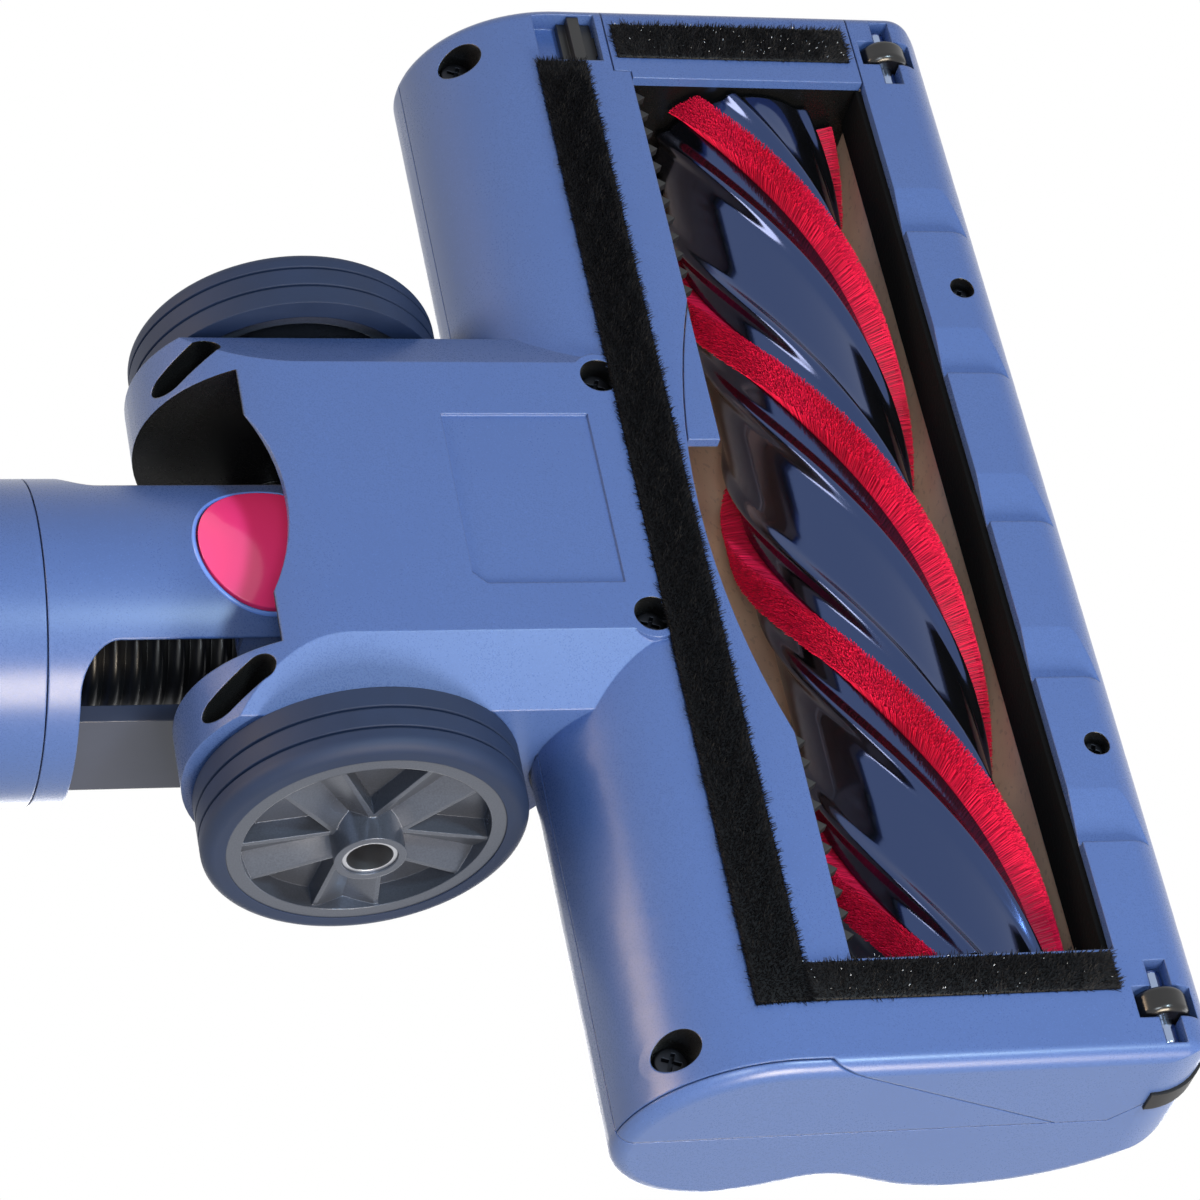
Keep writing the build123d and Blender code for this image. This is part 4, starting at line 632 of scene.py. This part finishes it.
class FLOORHEAD_OT_bristles(bpy.types.Operator):
    """Model the helical strips as thousands of nylon bristles on a backing"""

    bl_idname = "floor_head.bristles"
    bl_label = "Bristle strips"

    def execute(self, context):
        look = context.scene.floor_head_colours
        sizes = context.scene.floor_head_sizes
        nylon = fibre("bristle_nylon", look.bristle, 0.5, 1.35, Specular_IOR_Level=0.25)
        for number, node in enumerate(STRIPS):
            self.strip(node, number, sizes, nylon)
        return {"FINISHED"}

    def backing(self, turn):
        """Solid heart of a strip, below the bristles' tips."""
        corners = [
            across(CHANNEL_DEPTH_R, -BACKING_HALF), across(BACKING_TOP_R, -BACKING_HALF),
            across(BACKING_TOP_R + BACKING_CROWN, 0.0), across(BACKING_TOP_R, BACKING_HALF),
            across(CHANNEL_DEPTH_R, BACKING_HALF)]
        radii = np.array([corner[0] for corner in corners])
        angles = np.array([corner[1] for corner in corners])
        rings = [
            on_brush(radii, angles + turn + turn_at(y), y)
            for y in np.linspace(STRIP_LOW.y, STRIP_HIGH.y, BACKING_RINGS)]
        return np.concatenate(rings), tube_faces(len(rings), len(corners))

    def strip(self, node, number, sizes, nylon):
        chance = np.random.default_rng(BRISTLE_SEED + number)
        turn = number * STRIP_STEP
        heart, heart_faces = self.backing(turn)
        rows = int((STRIP_HIGH.y - STRIP_LOW.y) / sizes.bristle_spacing)
        columns = int(2 * BRISTLE_TIP_HALF / sizes.bristle_spacing)
        row, column = [
            part.ravel() for part in np.meshgrid(np.arange(rows), np.arange(columns), indexing="ij")]
        count = len(row)
        y = STRIP_LOW.y + (row + 0.5 + chance.uniform(-ROW_JITTER, ROW_JITTER, count)) * sizes.bristle_spacing
        y = np.clip(y, STRIP_LOW.y + BRISTLE_MARGIN, STRIP_HIGH.y - BRISTLE_MARGIN)
        share = (column + 0.5 + chance.uniform(-COLUMN_JITTER, COLUMN_JITTER, count)) / columns * 2 - 1
        root_r, root_a = across(BRISTLE_ROOT_R, share * BRISTLE_ROOT_HALF)
        drop = np.abs(share) ** 4 * BRISTLE_EDGE_DROP
        tip_r = BRISTLE_TIP_R - chance.uniform(0.0, BRISTLE_UNEVEN, count) - drop
        lean = chance.normal(0.0, BRISTLE_LEAN_ACROSS, count) * MM
        tip_r, tip_a = across(tip_r, share * BRISTLE_TIP_HALF + lean)
        tip_y = y + chance.normal(0.0, BRISTLE_LEAN_ALONG, count) * MM
        tip_y = np.clip(tip_y, STRIP_LOW.y, STRIP_HIGH.y)
        roots = on_brush(root_r, root_a + turn + turn_at(y), y)
        tips = on_brush(np.minimum(tip_r, BRISTLE_TIP_R), tip_a + turn + turn_at(y), tip_y)
        hairs, hair_faces = spikes(roots, tips, sizes.bristle_width, BRISTLE_BLUNT)
        points, faces = join_lists([(heart, heart_faces), (hairs, hair_faces)])
        strip = add_piece(f"{node}_fibres", points, faces, nylon, FIBRE_SMOOTH)
        shade = chance.uniform(BRISTLE_DARKEST, 1.0, count)
        set_tint(strip, len(heart), shade, BRISTLE_ROOT_PAINTED_SHADE)
        stand_for(strip, "brush", node)


# Plush strips

PILE_FLOOR = 0.12 * MM
PILE_BASE = 1.15 * MM
PILE_ROOT = PILE_BASE + 0.3 * MM
PILE_UNEVEN = 0.5 * MM
PILE_EDGE_DROP = 0.5 * MM
PILE_LEAN = 0.28
PILE_BLUNT = 0.35
# Painted shade: a pile fibre's root tone against its tip
PILE_ROOT_PAINTED_SHADE = 0.3
PILE_SEED = 31
PILE_JITTER = 0.5
EDGE_POWER_X = 5
EDGE_POWER_Y = 31
TUFT_LEAN = 0.2 * MM
# Axis, waves along it, swing of the waves and how fast they swing across it, in radians and metres
TUFT_WAVES = ((1, 900.0, 3.0, 700.0), (0, 1100.0, 2.0, 450.0))
BASE_BEVEL = 0.4 * MM
# Share of pile fibres with a painted highlight at the tip
PAINTED_GLINT_SHARE = 0.012


class FLOORHEAD_OT_plush(bpy.types.Operator):
    """Model the plush strips on the sole as dense short pile on a woven base"""

    bl_idname = "floor_head.plush"
    bl_label = "Plush strips"

    def execute(self, context):
        look = context.scene.floor_head_colours
        sizes = context.scene.floor_head_sizes
        plain = fibre("pile_black", look.pile, 0.4, 1.4, Specular_IOR_Level=0.12)
        # Side and cap pile: a lighter copy of the same pile, with painted glints at a few tips
        painted_glint_pile = fibre(
            "pile_painted_glint", scaled(look.pile, 1.2), 0.4, 1.6, srgb(206, 214, 228), Specular_IOR_Level=0.2)
        for seed, (node, pile) in enumerate(
                {"rear_plush": plain, "side_plush": painted_glint_pile, "cap_plush": painted_glint_pile}.items()):
            self.strip(node, pile, sizes, np.random.default_rng(PILE_SEED + seed))
        return {"FINISHED"}

    def base(self, low, high):
        """Woven base of a strip: a bevelled block under the pile."""
        bpy.ops.object.select_all(action="DESELECT")
        middle = (low + high) / 2
        bpy.ops.mesh.primitive_cube_add(size=1.0, location=(middle.x, middle.y, (PILE_BASE + high.z) / 2))
        block = bpy.context.active_object
        block.scale = (high.x - low.x, high.y - low.y, high.z - PILE_BASE)
        bpy.ops.object.transform_apply(location=True, rotation=False, scale=True)
        bpy.ops.object.mode_set(mode="EDIT")
        bpy.ops.mesh.select_all(action="SELECT")
        bpy.ops.mesh.bevel(offset=BASE_BEVEL, segments=2, affect="EDGES")
        bpy.ops.object.mode_set(mode="OBJECT")
        points = [tuple(vertex.co) for vertex in block.data.vertices]
        faces = [tuple(face.vertices) for face in block.data.polygons]
        bpy.data.objects.remove(block)
        return points, faces

    def strip(self, node, pile, sizes, chance):
        low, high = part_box(node)
        base, base_faces = self.base(low, high)
        columns = int((high.x - low.x) / sizes.pile_spacing)
        rows = int((high.y - low.y) / sizes.pile_spacing)
        column, row = [part.ravel() for part in np.meshgrid(np.arange(columns), np.arange(rows))]
        count = len(row)
        share_x = (column + 0.5 + chance.uniform(-PILE_JITTER, PILE_JITTER, count)) / columns
        share_y = (row + 0.5 + chance.uniform(-PILE_JITTER, PILE_JITTER, count)) / rows
        roots = np.stack([
            low.x + share_x * (high.x - low.x), low.y + share_y * (high.y - low.y),
            np.full(count, PILE_ROOT)], axis=1)
        edge_x = (2 * share_x - 1) ** EDGE_POWER_X
        edge_y = (2 * share_y - 1) ** EDGE_POWER_Y
        tufts = np.stack([
            np.sin(roots[:, axis] * waves + swing * np.sin(roots[:, 1 - axis] * pace))
            for axis, waves, swing, pace in TUFT_WAVES], axis=1)
        lean = chance.normal(0.0, PILE_LEAN, (count, 2)) * MM + tufts * TUFT_LEAN
        tips = roots.copy()
        tips[:, 0] += lean[:, 0] + edge_x * sizes.pile_spread
        tips[:, 1] += lean[:, 1] + edge_y * sizes.pile_spread
        drop = np.maximum(np.abs(edge_x), np.abs(edge_y)) * PILE_EDGE_DROP
        tips[:, 2] = PILE_FLOOR + chance.uniform(0.0, PILE_UNEVEN, count) + drop
        hairs, hair_faces = spikes(roots, tips, sizes.pile_width, PILE_BLUNT)
        points, faces = join_lists([(base, base_faces), (hairs, hair_faces)])
        strip = add_piece(f"{node}_pile", points, faces, pile, FIBRE_SMOOTH)
        # Painted glints: a few fibres reach full tint, the rest stay below the highlight threshold
        painted_glints = chance.uniform(0.0, 1.0, count) < PAINTED_GLINT_SHARE
        shade = np.where(painted_glints, 1.0, PAINTED_GLINT_TINT * chance.uniform(0.0, 1.0, count) ** 1.5)
        set_tint(strip, len(base), shade, PILE_ROOT_PAINTED_SHADE)
        stand_for(strip, "head", node)


# Hose

HOSE_ANGLE = math.radians(30.0)
HOSE_START = (6.13 * MM, 35.0 * MM)
HOSE_LEAD = 8.0 * MM
HOSE_END_X = -77.15 * MM
HOSE_R = 15.25 * MM
HOSE_BASE_R = 13.7 * MM
HOSE_BORE_R = 12.4 * MM
RING_PITCH = 4.0 * MM
RING_FULLNESS = 0.6
HOSE_STEP = 0.4 * MM


def hose_line():
    """Centres and directions along the hose: straight off the inlet, one bend, then level to the neck."""
    bend_x = HOSE_START[0] - HOSE_LEAD * math.cos(HOSE_ANGLE)
    bend_z = HOSE_START[1] + HOSE_LEAD * math.sin(HOSE_ANGLE)
    radius = (PIVOT.z - bend_z) / (1 - math.cos(HOSE_ANGLE))
    arc = radius * HOSE_ANGLE
    level_x = bend_x - radius * math.sin(HOSE_ANGLE)
    total = HOSE_LEAD + arc + level_x - HOSE_END_X
    for place in np.linspace(0.0, total, int(total / HOSE_STEP)):
        if place < HOSE_LEAD:
            slope = HOSE_ANGLE
            x = HOSE_START[0] - place * math.cos(slope)
            z = HOSE_START[1] + place * math.sin(slope)
        elif place < HOSE_LEAD + arc:
            slope = HOSE_ANGLE - (place - HOSE_LEAD) / radius
            x = level_x + radius * math.sin(slope)
            z = PIVOT.z - radius * (1 - math.cos(slope))
        else:
            slope = 0.0
            x = level_x - (place - HOSE_LEAD - arc)
            z = PIVOT.z
        yield place, Vector((x, 0.0, z)), slope


class FLOORHEAD_OT_hose(bpy.types.Operator):
    """Model the corrugated suction hose, bent once on its way to the neck"""

    bl_idname = "floor_head.hose"
    bl_label = "Suction hose"

    def execute(self, context):
        sizes = context.scene.floor_head_sizes
        angles = np.linspace(0.0, math.tau, sizes.hose_segments, endpoint=False)
        outer, inner = [], []
        for place, centre, slope in hose_line():
            wave = 0.5 - 0.5 * math.cos(math.tau * place / RING_PITCH)
            radius = HOSE_BASE_R + (HOSE_R - HOSE_BASE_R) * wave ** RING_FULLNESS
            upright = Vector((math.sin(slope), 0.0, math.cos(slope)))
            for rings, size in ((outer, radius), (inner, HOSE_BORE_R)):
                rings.append([
                    tuple(centre + size * (math.cos(angle) * Vector((0, 1, 0)) + math.sin(angle) * upright))
                    for angle in angles])
        rings = outer + inner[::-1]
        around = sizes.hose_segments
        points = [point for ring in rings for point in ring]
        faces = rings_to_faces(len(rings), around)
        last = len(points) - around
        faces += [
            (last + step, last + (step + 1) % around, (step + 1) % around, step) for step in range(around)]
        finish = satin_plastic("hose_satin", context.scene.floor_head_colours.black, 0.34)
        hose = add_piece("suction_hose_rings", points, faces, finish, HOSE_SMOOTH)
        recalculate(hose)
        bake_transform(hose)
        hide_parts("suction_hose")
        return {"FINISHED"}


# Screws

SCREW_ROUND = 0.7 * MM
RECESS_LENGTH_SHARE = 1.15
RECESS_WIDTH = 0.75 * MM
RECESS_DEPTH = 1.2 * MM
RECESS_TURN = math.radians(20.0)
HEAD_HEIGHT = 2.4 * MM
HEAD_SIDES = 32
SHANK_R = 1.5 * MM
SHANK_SIDES = 16
SAME_HEIGHT = 0.001 * MM


class FLOORHEAD_OT_screws(bpy.types.Operator):
    """Model the cross-head screws in their wells"""

    bl_idname = "floor_head.screws"
    bl_label = "Screws"

    def execute(self, context):
        # Painted shade: the screws are darkened to read as shade in their deep wells
        finish = metal("screw_black_painted_shade", srgb(46, 48, 54), 0.42, 900.0)
        for node in ("sole_screws", "front_screws"):
            heads = [self.screw(*solid) for solid in screw_places(node)]
            select_only(heads[0])
            for head in heads[1:]:
                head.select_set(True)
            bpy.ops.object.join()
            group = bpy.context.active_object
            group.name = f"{node}_cross"
            group.data.materials.clear()
            group.data.materials.append(finish)
            bpy.ops.object.shade_smooth_by_angle(angle=SCREW_SMOOTH)
            stand_for(group, "head", node)
        return {"FINISHED"}

    def screw(self, centre, radius, low, high):
        """Pan head with a cross recess, on a shank."""
        seat = low + HEAD_HEIGHT
        head = self.cylinder(centre, radius, low, seat, HEAD_SIDES)
        self.round_underside(head, low)
        for turn in (0.0, math.pi / 2):
            self.cut_slot(head, centre, radius * RECESS_LENGTH_SHARE, low, turn)
        shank = self.cylinder(centre, SHANK_R, seat, high, SHANK_SIDES)
        select_only(head)
        shank.select_set(True)
        bpy.ops.object.join()
        return head

    def cylinder(self, centre, radius, low, high, sides):
        bpy.ops.object.select_all(action="DESELECT")
        bpy.ops.mesh.primitive_cylinder_add(
            vertices=sides, radius=radius, depth=high - low,
            location=(centre[0], centre[1], (low + high) / 2))
        piece = bpy.context.active_object
        bpy.ops.object.transform_apply(location=True, rotation=True, scale=True)
        return piece

    def round_underside(self, head, low):
        bpy.ops.object.mode_set(mode="EDIT")
        bpy.ops.mesh.select_all(action="DESELECT")
        bpy.ops.object.mode_set(mode="OBJECT")
        points = head.data.vertices
        for edge in head.data.edges:
            edge.select = all(abs(points[corner].co.z - low) < SAME_HEIGHT for corner in edge.vertices)
        bpy.ops.object.mode_set(mode="EDIT")
        bpy.ops.mesh.bevel(offset=SCREW_ROUND, segments=3, affect="EDGES")
        bpy.ops.object.mode_set(mode="OBJECT")

    def cut_slot(self, head, centre, span, low, turn):
        bpy.ops.object.select_all(action="DESELECT")
        bpy.ops.mesh.primitive_cube_add(size=1.0, location=(centre[0], centre[1], low))
        cutter = bpy.context.active_object
        cutter.scale = (span, RECESS_WIDTH, 2 * RECESS_DEPTH)
        cutter.rotation_euler.z = turn + RECESS_TURN
        bpy.ops.object.transform_apply(location=True, rotation=True, scale=True)
        select_only(head)
        cut = head.modifiers.new("recess", "BOOLEAN")
        cut.operation = "DIFFERENCE"
        cut.object = cutter
        bpy.ops.object.modifier_apply(modifier=cut.name)
        bpy.data.objects.remove(cutter)


# Shells and button

class FLOORHEAD_OT_shells(bpy.types.Operator):
    """Finish the shells, caps, neck and collar"""

    bl_idname = "floor_head.shells"
    bl_label = "Shells"

    def execute(self, context):
        look = context.scene.floor_head_colours
        paint(fleck_plastic("housing_fleck", look.housing), "housing", "collar")
        # End cap and sole: the housing plastic with black painted shade in their recesses
        paint_nodes(fleck_plastic("cap_fleck_painted_shade", look.housing, cap_inside_painted_shade), "end_cap")
        paint_nodes(
            fleck_plastic("sole_fleck_painted_shade", look.housing, sole_hollows_painted_shade),
            "sole_housing", "yoke_cap_left", "yoke_cap_right")
        paint(rubber("bumper_rubber", look.black, 0.55), "bumper")
        button = gloss_plastic("button_gloss", look.button, 0.16, Coat_Weight=0.4, Coat_Roughness=0.05)
        paint(button, "button")
        paint(satin_plastic("latch_satin", scaled(look.black, 1.3), 0.4), "latch")
        return {"FINISHED"}


TRIM_X = -38.55 * MM
TRIM_R = 14.1 * MM
TRIM_HALF = 0.38 * MM
TRIM_STEPS = 96
TRIM_SIDES = 10
NECK_R = 30.6 * MM


class FLOORHEAD_OT_trim(bpy.types.Operator):
    """Model the bright lip round the release button, following the neck's round"""

    bl_idname = "floor_head.trim"
    bl_label = "Button trim"

    def execute(self, context):
        bpy.ops.object.select_all(action="DESELECT")
        bpy.ops.mesh.primitive_torus_add(
            location=(TRIM_X, 0.0, 0.0), major_radius=TRIM_R, minor_radius=TRIM_HALF,
            major_segments=TRIM_STEPS, minor_segments=TRIM_SIDES)
        trim = bpy.context.active_object
        trim.name = "button_trim"
        bpy.ops.object.transform_apply(location=True, rotation=True, scale=True)
        for vertex in trim.data.vertices:
            vertex.co.z += PIVOT.z - math.sqrt(NECK_R ** 2 - vertex.co.y ** 2)
        bpy.ops.object.shade_smooth_by_angle(angle=SMOOTH)
        lip = scaled(context.scene.floor_head_colours.housing, 2.6)
        trim.data.materials.append(satin_plastic("trim_satin", lip, 0.2, 0.1 * MM))
        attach(trim, "neck")
        return {"FINISHED"}


SPRING_TURNS = 4
SPRING_STEPS = 120
SPRING_SIDES = 8
SPRING_WIRE_R = 0.45 * MM


class FLOORHEAD_OT_spring(bpy.types.Operator):
    """Model the button's coil spring"""

    bl_idname = "floor_head.spring"
    bl_label = "Button spring"

    def execute(self, context):
        low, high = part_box("button_spring")
        middle = (low + high) / 2
        coil_r = (high.x - low.x) / 2 - SPRING_WIRE_R
        section = np.linspace(0.0, math.tau, SPRING_SIDES, endpoint=False)
        points = []
        for share in np.linspace(0.0, 1.0, SPRING_STEPS):
            turn = math.tau * SPRING_TURNS * share
            reach = coil_r + SPRING_WIRE_R * np.cos(section)
            height = low.z + SPRING_WIRE_R + (high.z - low.z - 2 * SPRING_WIRE_R) * share
            points += np.stack([
                middle.x + reach * math.cos(turn), middle.y + reach * math.sin(turn),
                height + SPRING_WIRE_R * np.sin(section)], axis=1).tolist()
        faces = tube_faces(SPRING_STEPS, SPRING_SIDES)
        finish = metal("spring_steel", srgb(176, 178, 184), 0.28)
        spring = add_piece("button_spring_coil", points, faces, finish)
        recalculate(spring)
        stand_for(spring, "neck", "button_spring")
        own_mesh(spring)
        return {"FINISHED"}


# Wheels and inner pieces

class FLOORHEAD_OT_wheels(bpy.types.Operator):
    """Finish the wheels, castors and axles"""

    bl_idname = "floor_head.wheels"
    bl_label = "Wheels"

    def execute(self, context):
        look = context.scene.floor_head_colours
        paint(hub_plastic("hub_silver", look.hub), "hub")
        paint(rubber("tyre_rubber", look.tyre), "tyre")
        castors = [node for node in NODES if node.startswith("castor_wheel")]
        paint_nodes(gloss_plastic("castor_gloss", scaled(look.black, 0.8), 0.2), *castors)
        # Painted reflection: the chrome is darkened and tinted blue for dark blue surroundings
        paint(metal("axle_chrome", srgb(150, 166, 196), 0.14), "chrome")
        paint(metal("steel_zinc", srgb(190, 192, 198), 0.32, 900.0), "steel")
        return {"FINISHED"}


class FLOORHEAD_OT_inner(bpy.types.Operator):
    """Finish the tunnel, duct, drive and other inner pieces"""

    bl_idname = "floor_head.inner"
    bl_label = "Inner pieces"

    def execute(self, context):
        look = context.scene.floor_head_colours
        # Painted light: the duct's colour is lightened for light reaching into the throat
        paint(smoked_plastic("duct_smoked", look.duct), "duct")
        paint(felt("liner_felt", scaled(look.black, 0.4)), "liner")
        paint(satin_plastic("tunnel_black", scaled(look.black, 0.7), 0.6), "tunnel", "inlet")
        paint(satin_plastic("fork_grey", srgb(50, 56, 74), 0.22), "fork")
        paint(metal("bearing_bronze", srgb(196, 150, 92), 0.38), "bearing")
        paint(metal("motor_can", srgb(150, 152, 156), 0.42, 600.0), "motor")
        paint(satin_plastic("pulley_black", scaled(look.black, 2.0), 0.5), "pulley")
        paint(rubber("belt_rubber", look.black, 0.7), "belt")
        paint(board_varnish("board_green", srgb(32, 98, 52)), "board")
        return {"FINISHED"}


# Stage

CAMERA_PLACE = Vector((-0.21068, 0.48005, -0.61502))
CAMERA_RIGHT = Vector((0.95852, 0.17869, -0.22205))
CAMERA_UP = Vector((0.01137, -0.80243, -0.59664))
CAMERA_BACK = Vector((-0.28479, 0.56937, -0.77118))
CAMERA_LENS = 131.82
CAMERA_NEAR = 0.01
FLOOR_SIZE = 6.0
FLOOR_NEAR = 0.20
FLOOR_FAR = 0.90
FLOOR_GLOW = 0.3
FLOOR_TONE = srgb(232, 232, 234)
FLOOR_LOW = srgb(236, 236, 238)
FLOOR_HIGH = srgb(246, 246, 248)
WORLD_LIGHT = 0.16
WORLD_SEEN = 1.0
AIM = Vector((0.02, 0.0, 0.02))
# Name, place, size, watts and colour
LAMPS = (
    ("key", (0.20, 1.05, -0.38), 0.45, 18.0, (1.0, 0.84, 0.64)),
    ("under", (0.33, 0.33, -0.98), 0.16, 7.5, (0.64, 0.86, 1.0)),
    ("fill", (-0.26, 0.56, -0.80), 0.30, 3.8, (0.82, 0.92, 1.0)),
    ("rear", (-1.05, -0.30, -0.26), 0.42, 8.0, (1.0, 0.71, 0.46)),
    ("above", (0.30, -0.35, 1.20), 0.90, 11.0, (1.0, 0.98, 0.95)),
    ("front", (1.10, 0.30, 0.40), 0.80, 5.0, (0.96, 0.98, 1.0)),
)


class FLOORHEAD_OT_stage(bpy.types.Operator):
    """Set the pale floor, soft light and the camera"""

    bl_idname = "floor_head.stage"
    bl_label = "Stage"

    def execute(self, context):
        self.floor()
        self.world(context.scene)
        for name, place, size, watts, colour in LAMPS:
            self.lamp(name, Vector(place), size, watts, colour)
        self.camera(context.scene)
        context.scene.view_settings.view_transform = "Standard"
        return {"FINISHED"}

    def floor(self):
        """Pale floor that is seen from above and lets the view from below pass."""
        bpy.ops.object.select_all(action="DESELECT")
        bpy.ops.mesh.primitive_plane_add(size=FLOOR_SIZE)
        floor = bpy.context.active_object
        floor.name = "stage_floor"
        shade = Shade("floor_pale")
        under = shade.add("ShaderNodeNewGeometry", out="Backfacing")
        cloud = shade.noise(scale=6.0, detail=2.0)
        pale = shade.add(
            "ShaderNodeBsdfDiffuse", None,
            {"Color": shade.mix(cloud, FLOOR_LOW, FLOOR_HIGH)})
        away = shade.add("ShaderNodeVectorMath", {"operation": "LENGTH"}, {0: shade.place()}, "Value")
        far = shade.add(
            "ShaderNodeMapRange", {"interpolation_type": "SMOOTHSTEP"},
            {"Value": away, "From Min": FLOOR_NEAR, "From Max": FLOOR_FAR, "To Min": FLOOR_GLOW}, "Result")
        glow = shade.add("ShaderNodeEmission", None, {"Color": (*FLOOR_TONE, 1.0)})
        ground = shade.add("ShaderNodeMixShader", None, {0: far, 1: pale, 2: glow})
        clear = shade.add("ShaderNodeBsdfTransparent")
        both = shade.add("ShaderNodeMixShader", None, {0: under, 1: ground, 2: clear})
        shade.add("ShaderNodeOutputMaterial", None, {"Surface": both})
        floor.data.materials.append(shade.block)
        floor.visible_diffuse = False
        floor.visible_glossy = False
        floor.visible_transmission = False
        floor.visible_shadow = False

    def world(self, scene):
        """White to the camera, in reflections and through clear pieces; softer as a light."""
        shade = Shade("studio", "worlds")
        scene.world = shade.block
        rays = {ray.socket.name: ray for ray in shade.outputs(shade.add("ShaderNodeLightPath"))}
        seen = rays["Is Camera Ray"].math("MAXIMUM", rays["Is Glossy Ray"])
        seen = seen.math("MAXIMUM", rays["Is Transmission Ray"])
        strength = shade.add(
            "ShaderNodeMapRange", None,
            {"Value": seen, "To Min": WORLD_LIGHT, "To Max": WORLD_SEEN}, "Result")
        sky = shade.add("ShaderNodeBackground", None, {"Color": (1.0, 1.0, 1.0, 1.0), "Strength": strength})
        shade.add("ShaderNodeOutputWorld", None, {"Surface": sky})

    def lamp(self, name, place, size, watts, colour):
        light = bpy.data.lights.new(f"stage_{name}", "AREA")
        light.size = size
        light.energy = watts
        light.color = colour
        lamp = bpy.data.objects.new(f"stage_{name}", light)
        lamp.location = place
        lamp.rotation_euler = (AIM - place).to_track_quat("-Z", "Y").to_euler()
        bpy.context.scene.collection.objects.link(lamp)

    def camera(self, scene):
        """Camera at the photograph's angle: from behind and below."""
        lens = bpy.data.cameras.new("photo_view")
        lens.lens = CAMERA_LENS
        lens.clip_start = CAMERA_NEAR
        camera = bpy.data.objects.new("photo_view", lens)
        axes = Matrix((CAMERA_RIGHT, CAMERA_UP, CAMERA_BACK)).transposed().to_4x4()
        camera.matrix_world = Matrix.Translation(CAMERA_PLACE) @ axes
        scene.collection.objects.link(camera)
        scene.camera = camera


class FLOORHEAD_PT_finish(bpy.types.Panel):
    """Sidebar panel with the finish's steps, sizes and colours"""

    bl_idname = "FLOORHEAD_PT_finish"
    bl_label = "Floor head"
    bl_space_type = "VIEW_3D"
    bl_region_type = "UI"
    bl_category = "Floor head"

    def draw(self, context):
        for step in STEPS:
            self.layout.operator(step.bl_idname)
        for group in (context.scene.floor_head_sizes, context.scene.floor_head_colours):
            box = self.layout.box()
            for name in group.bl_rna.properties.keys():
                if name not in ("rna_type", "name"):
                    box.prop(group, name)


STEPS = (
    FLOORHEAD_OT_shells,
    FLOORHEAD_OT_trim,
    FLOORHEAD_OT_spring,
    FLOORHEAD_OT_wheels,
    FLOORHEAD_OT_inner,
    FLOORHEAD_OT_core,
    FLOORHEAD_OT_bristles,
    FLOORHEAD_OT_plush,
    FLOORHEAD_OT_hose,
    FLOORHEAD_OT_screws,
    FLOORHEAD_OT_stage,
)
CLASSES = (FloorHeadColours, FloorHeadSizes, *STEPS, FLOORHEAD_PT_finish)


def register():
    for kind in CLASSES:
        bpy.utils.register_class(kind)
    bpy.types.Scene.floor_head_colours = PointerProperty(type=FloorHeadColours)
    bpy.types.Scene.floor_head_sizes = PointerProperty(type=FloorHeadSizes)


def unregister():
    del bpy.types.Scene.floor_head_sizes
    del bpy.types.Scene.floor_head_colours
    for kind in reversed(CLASSES):
        bpy.utils.unregister_class(kind)


def main():
    register()
    for step in STEPS:
        group, name = step.bl_idname.split(".")
        getattr(getattr(bpy.ops, group), name)()


if __name__ == "__main__":
    main()
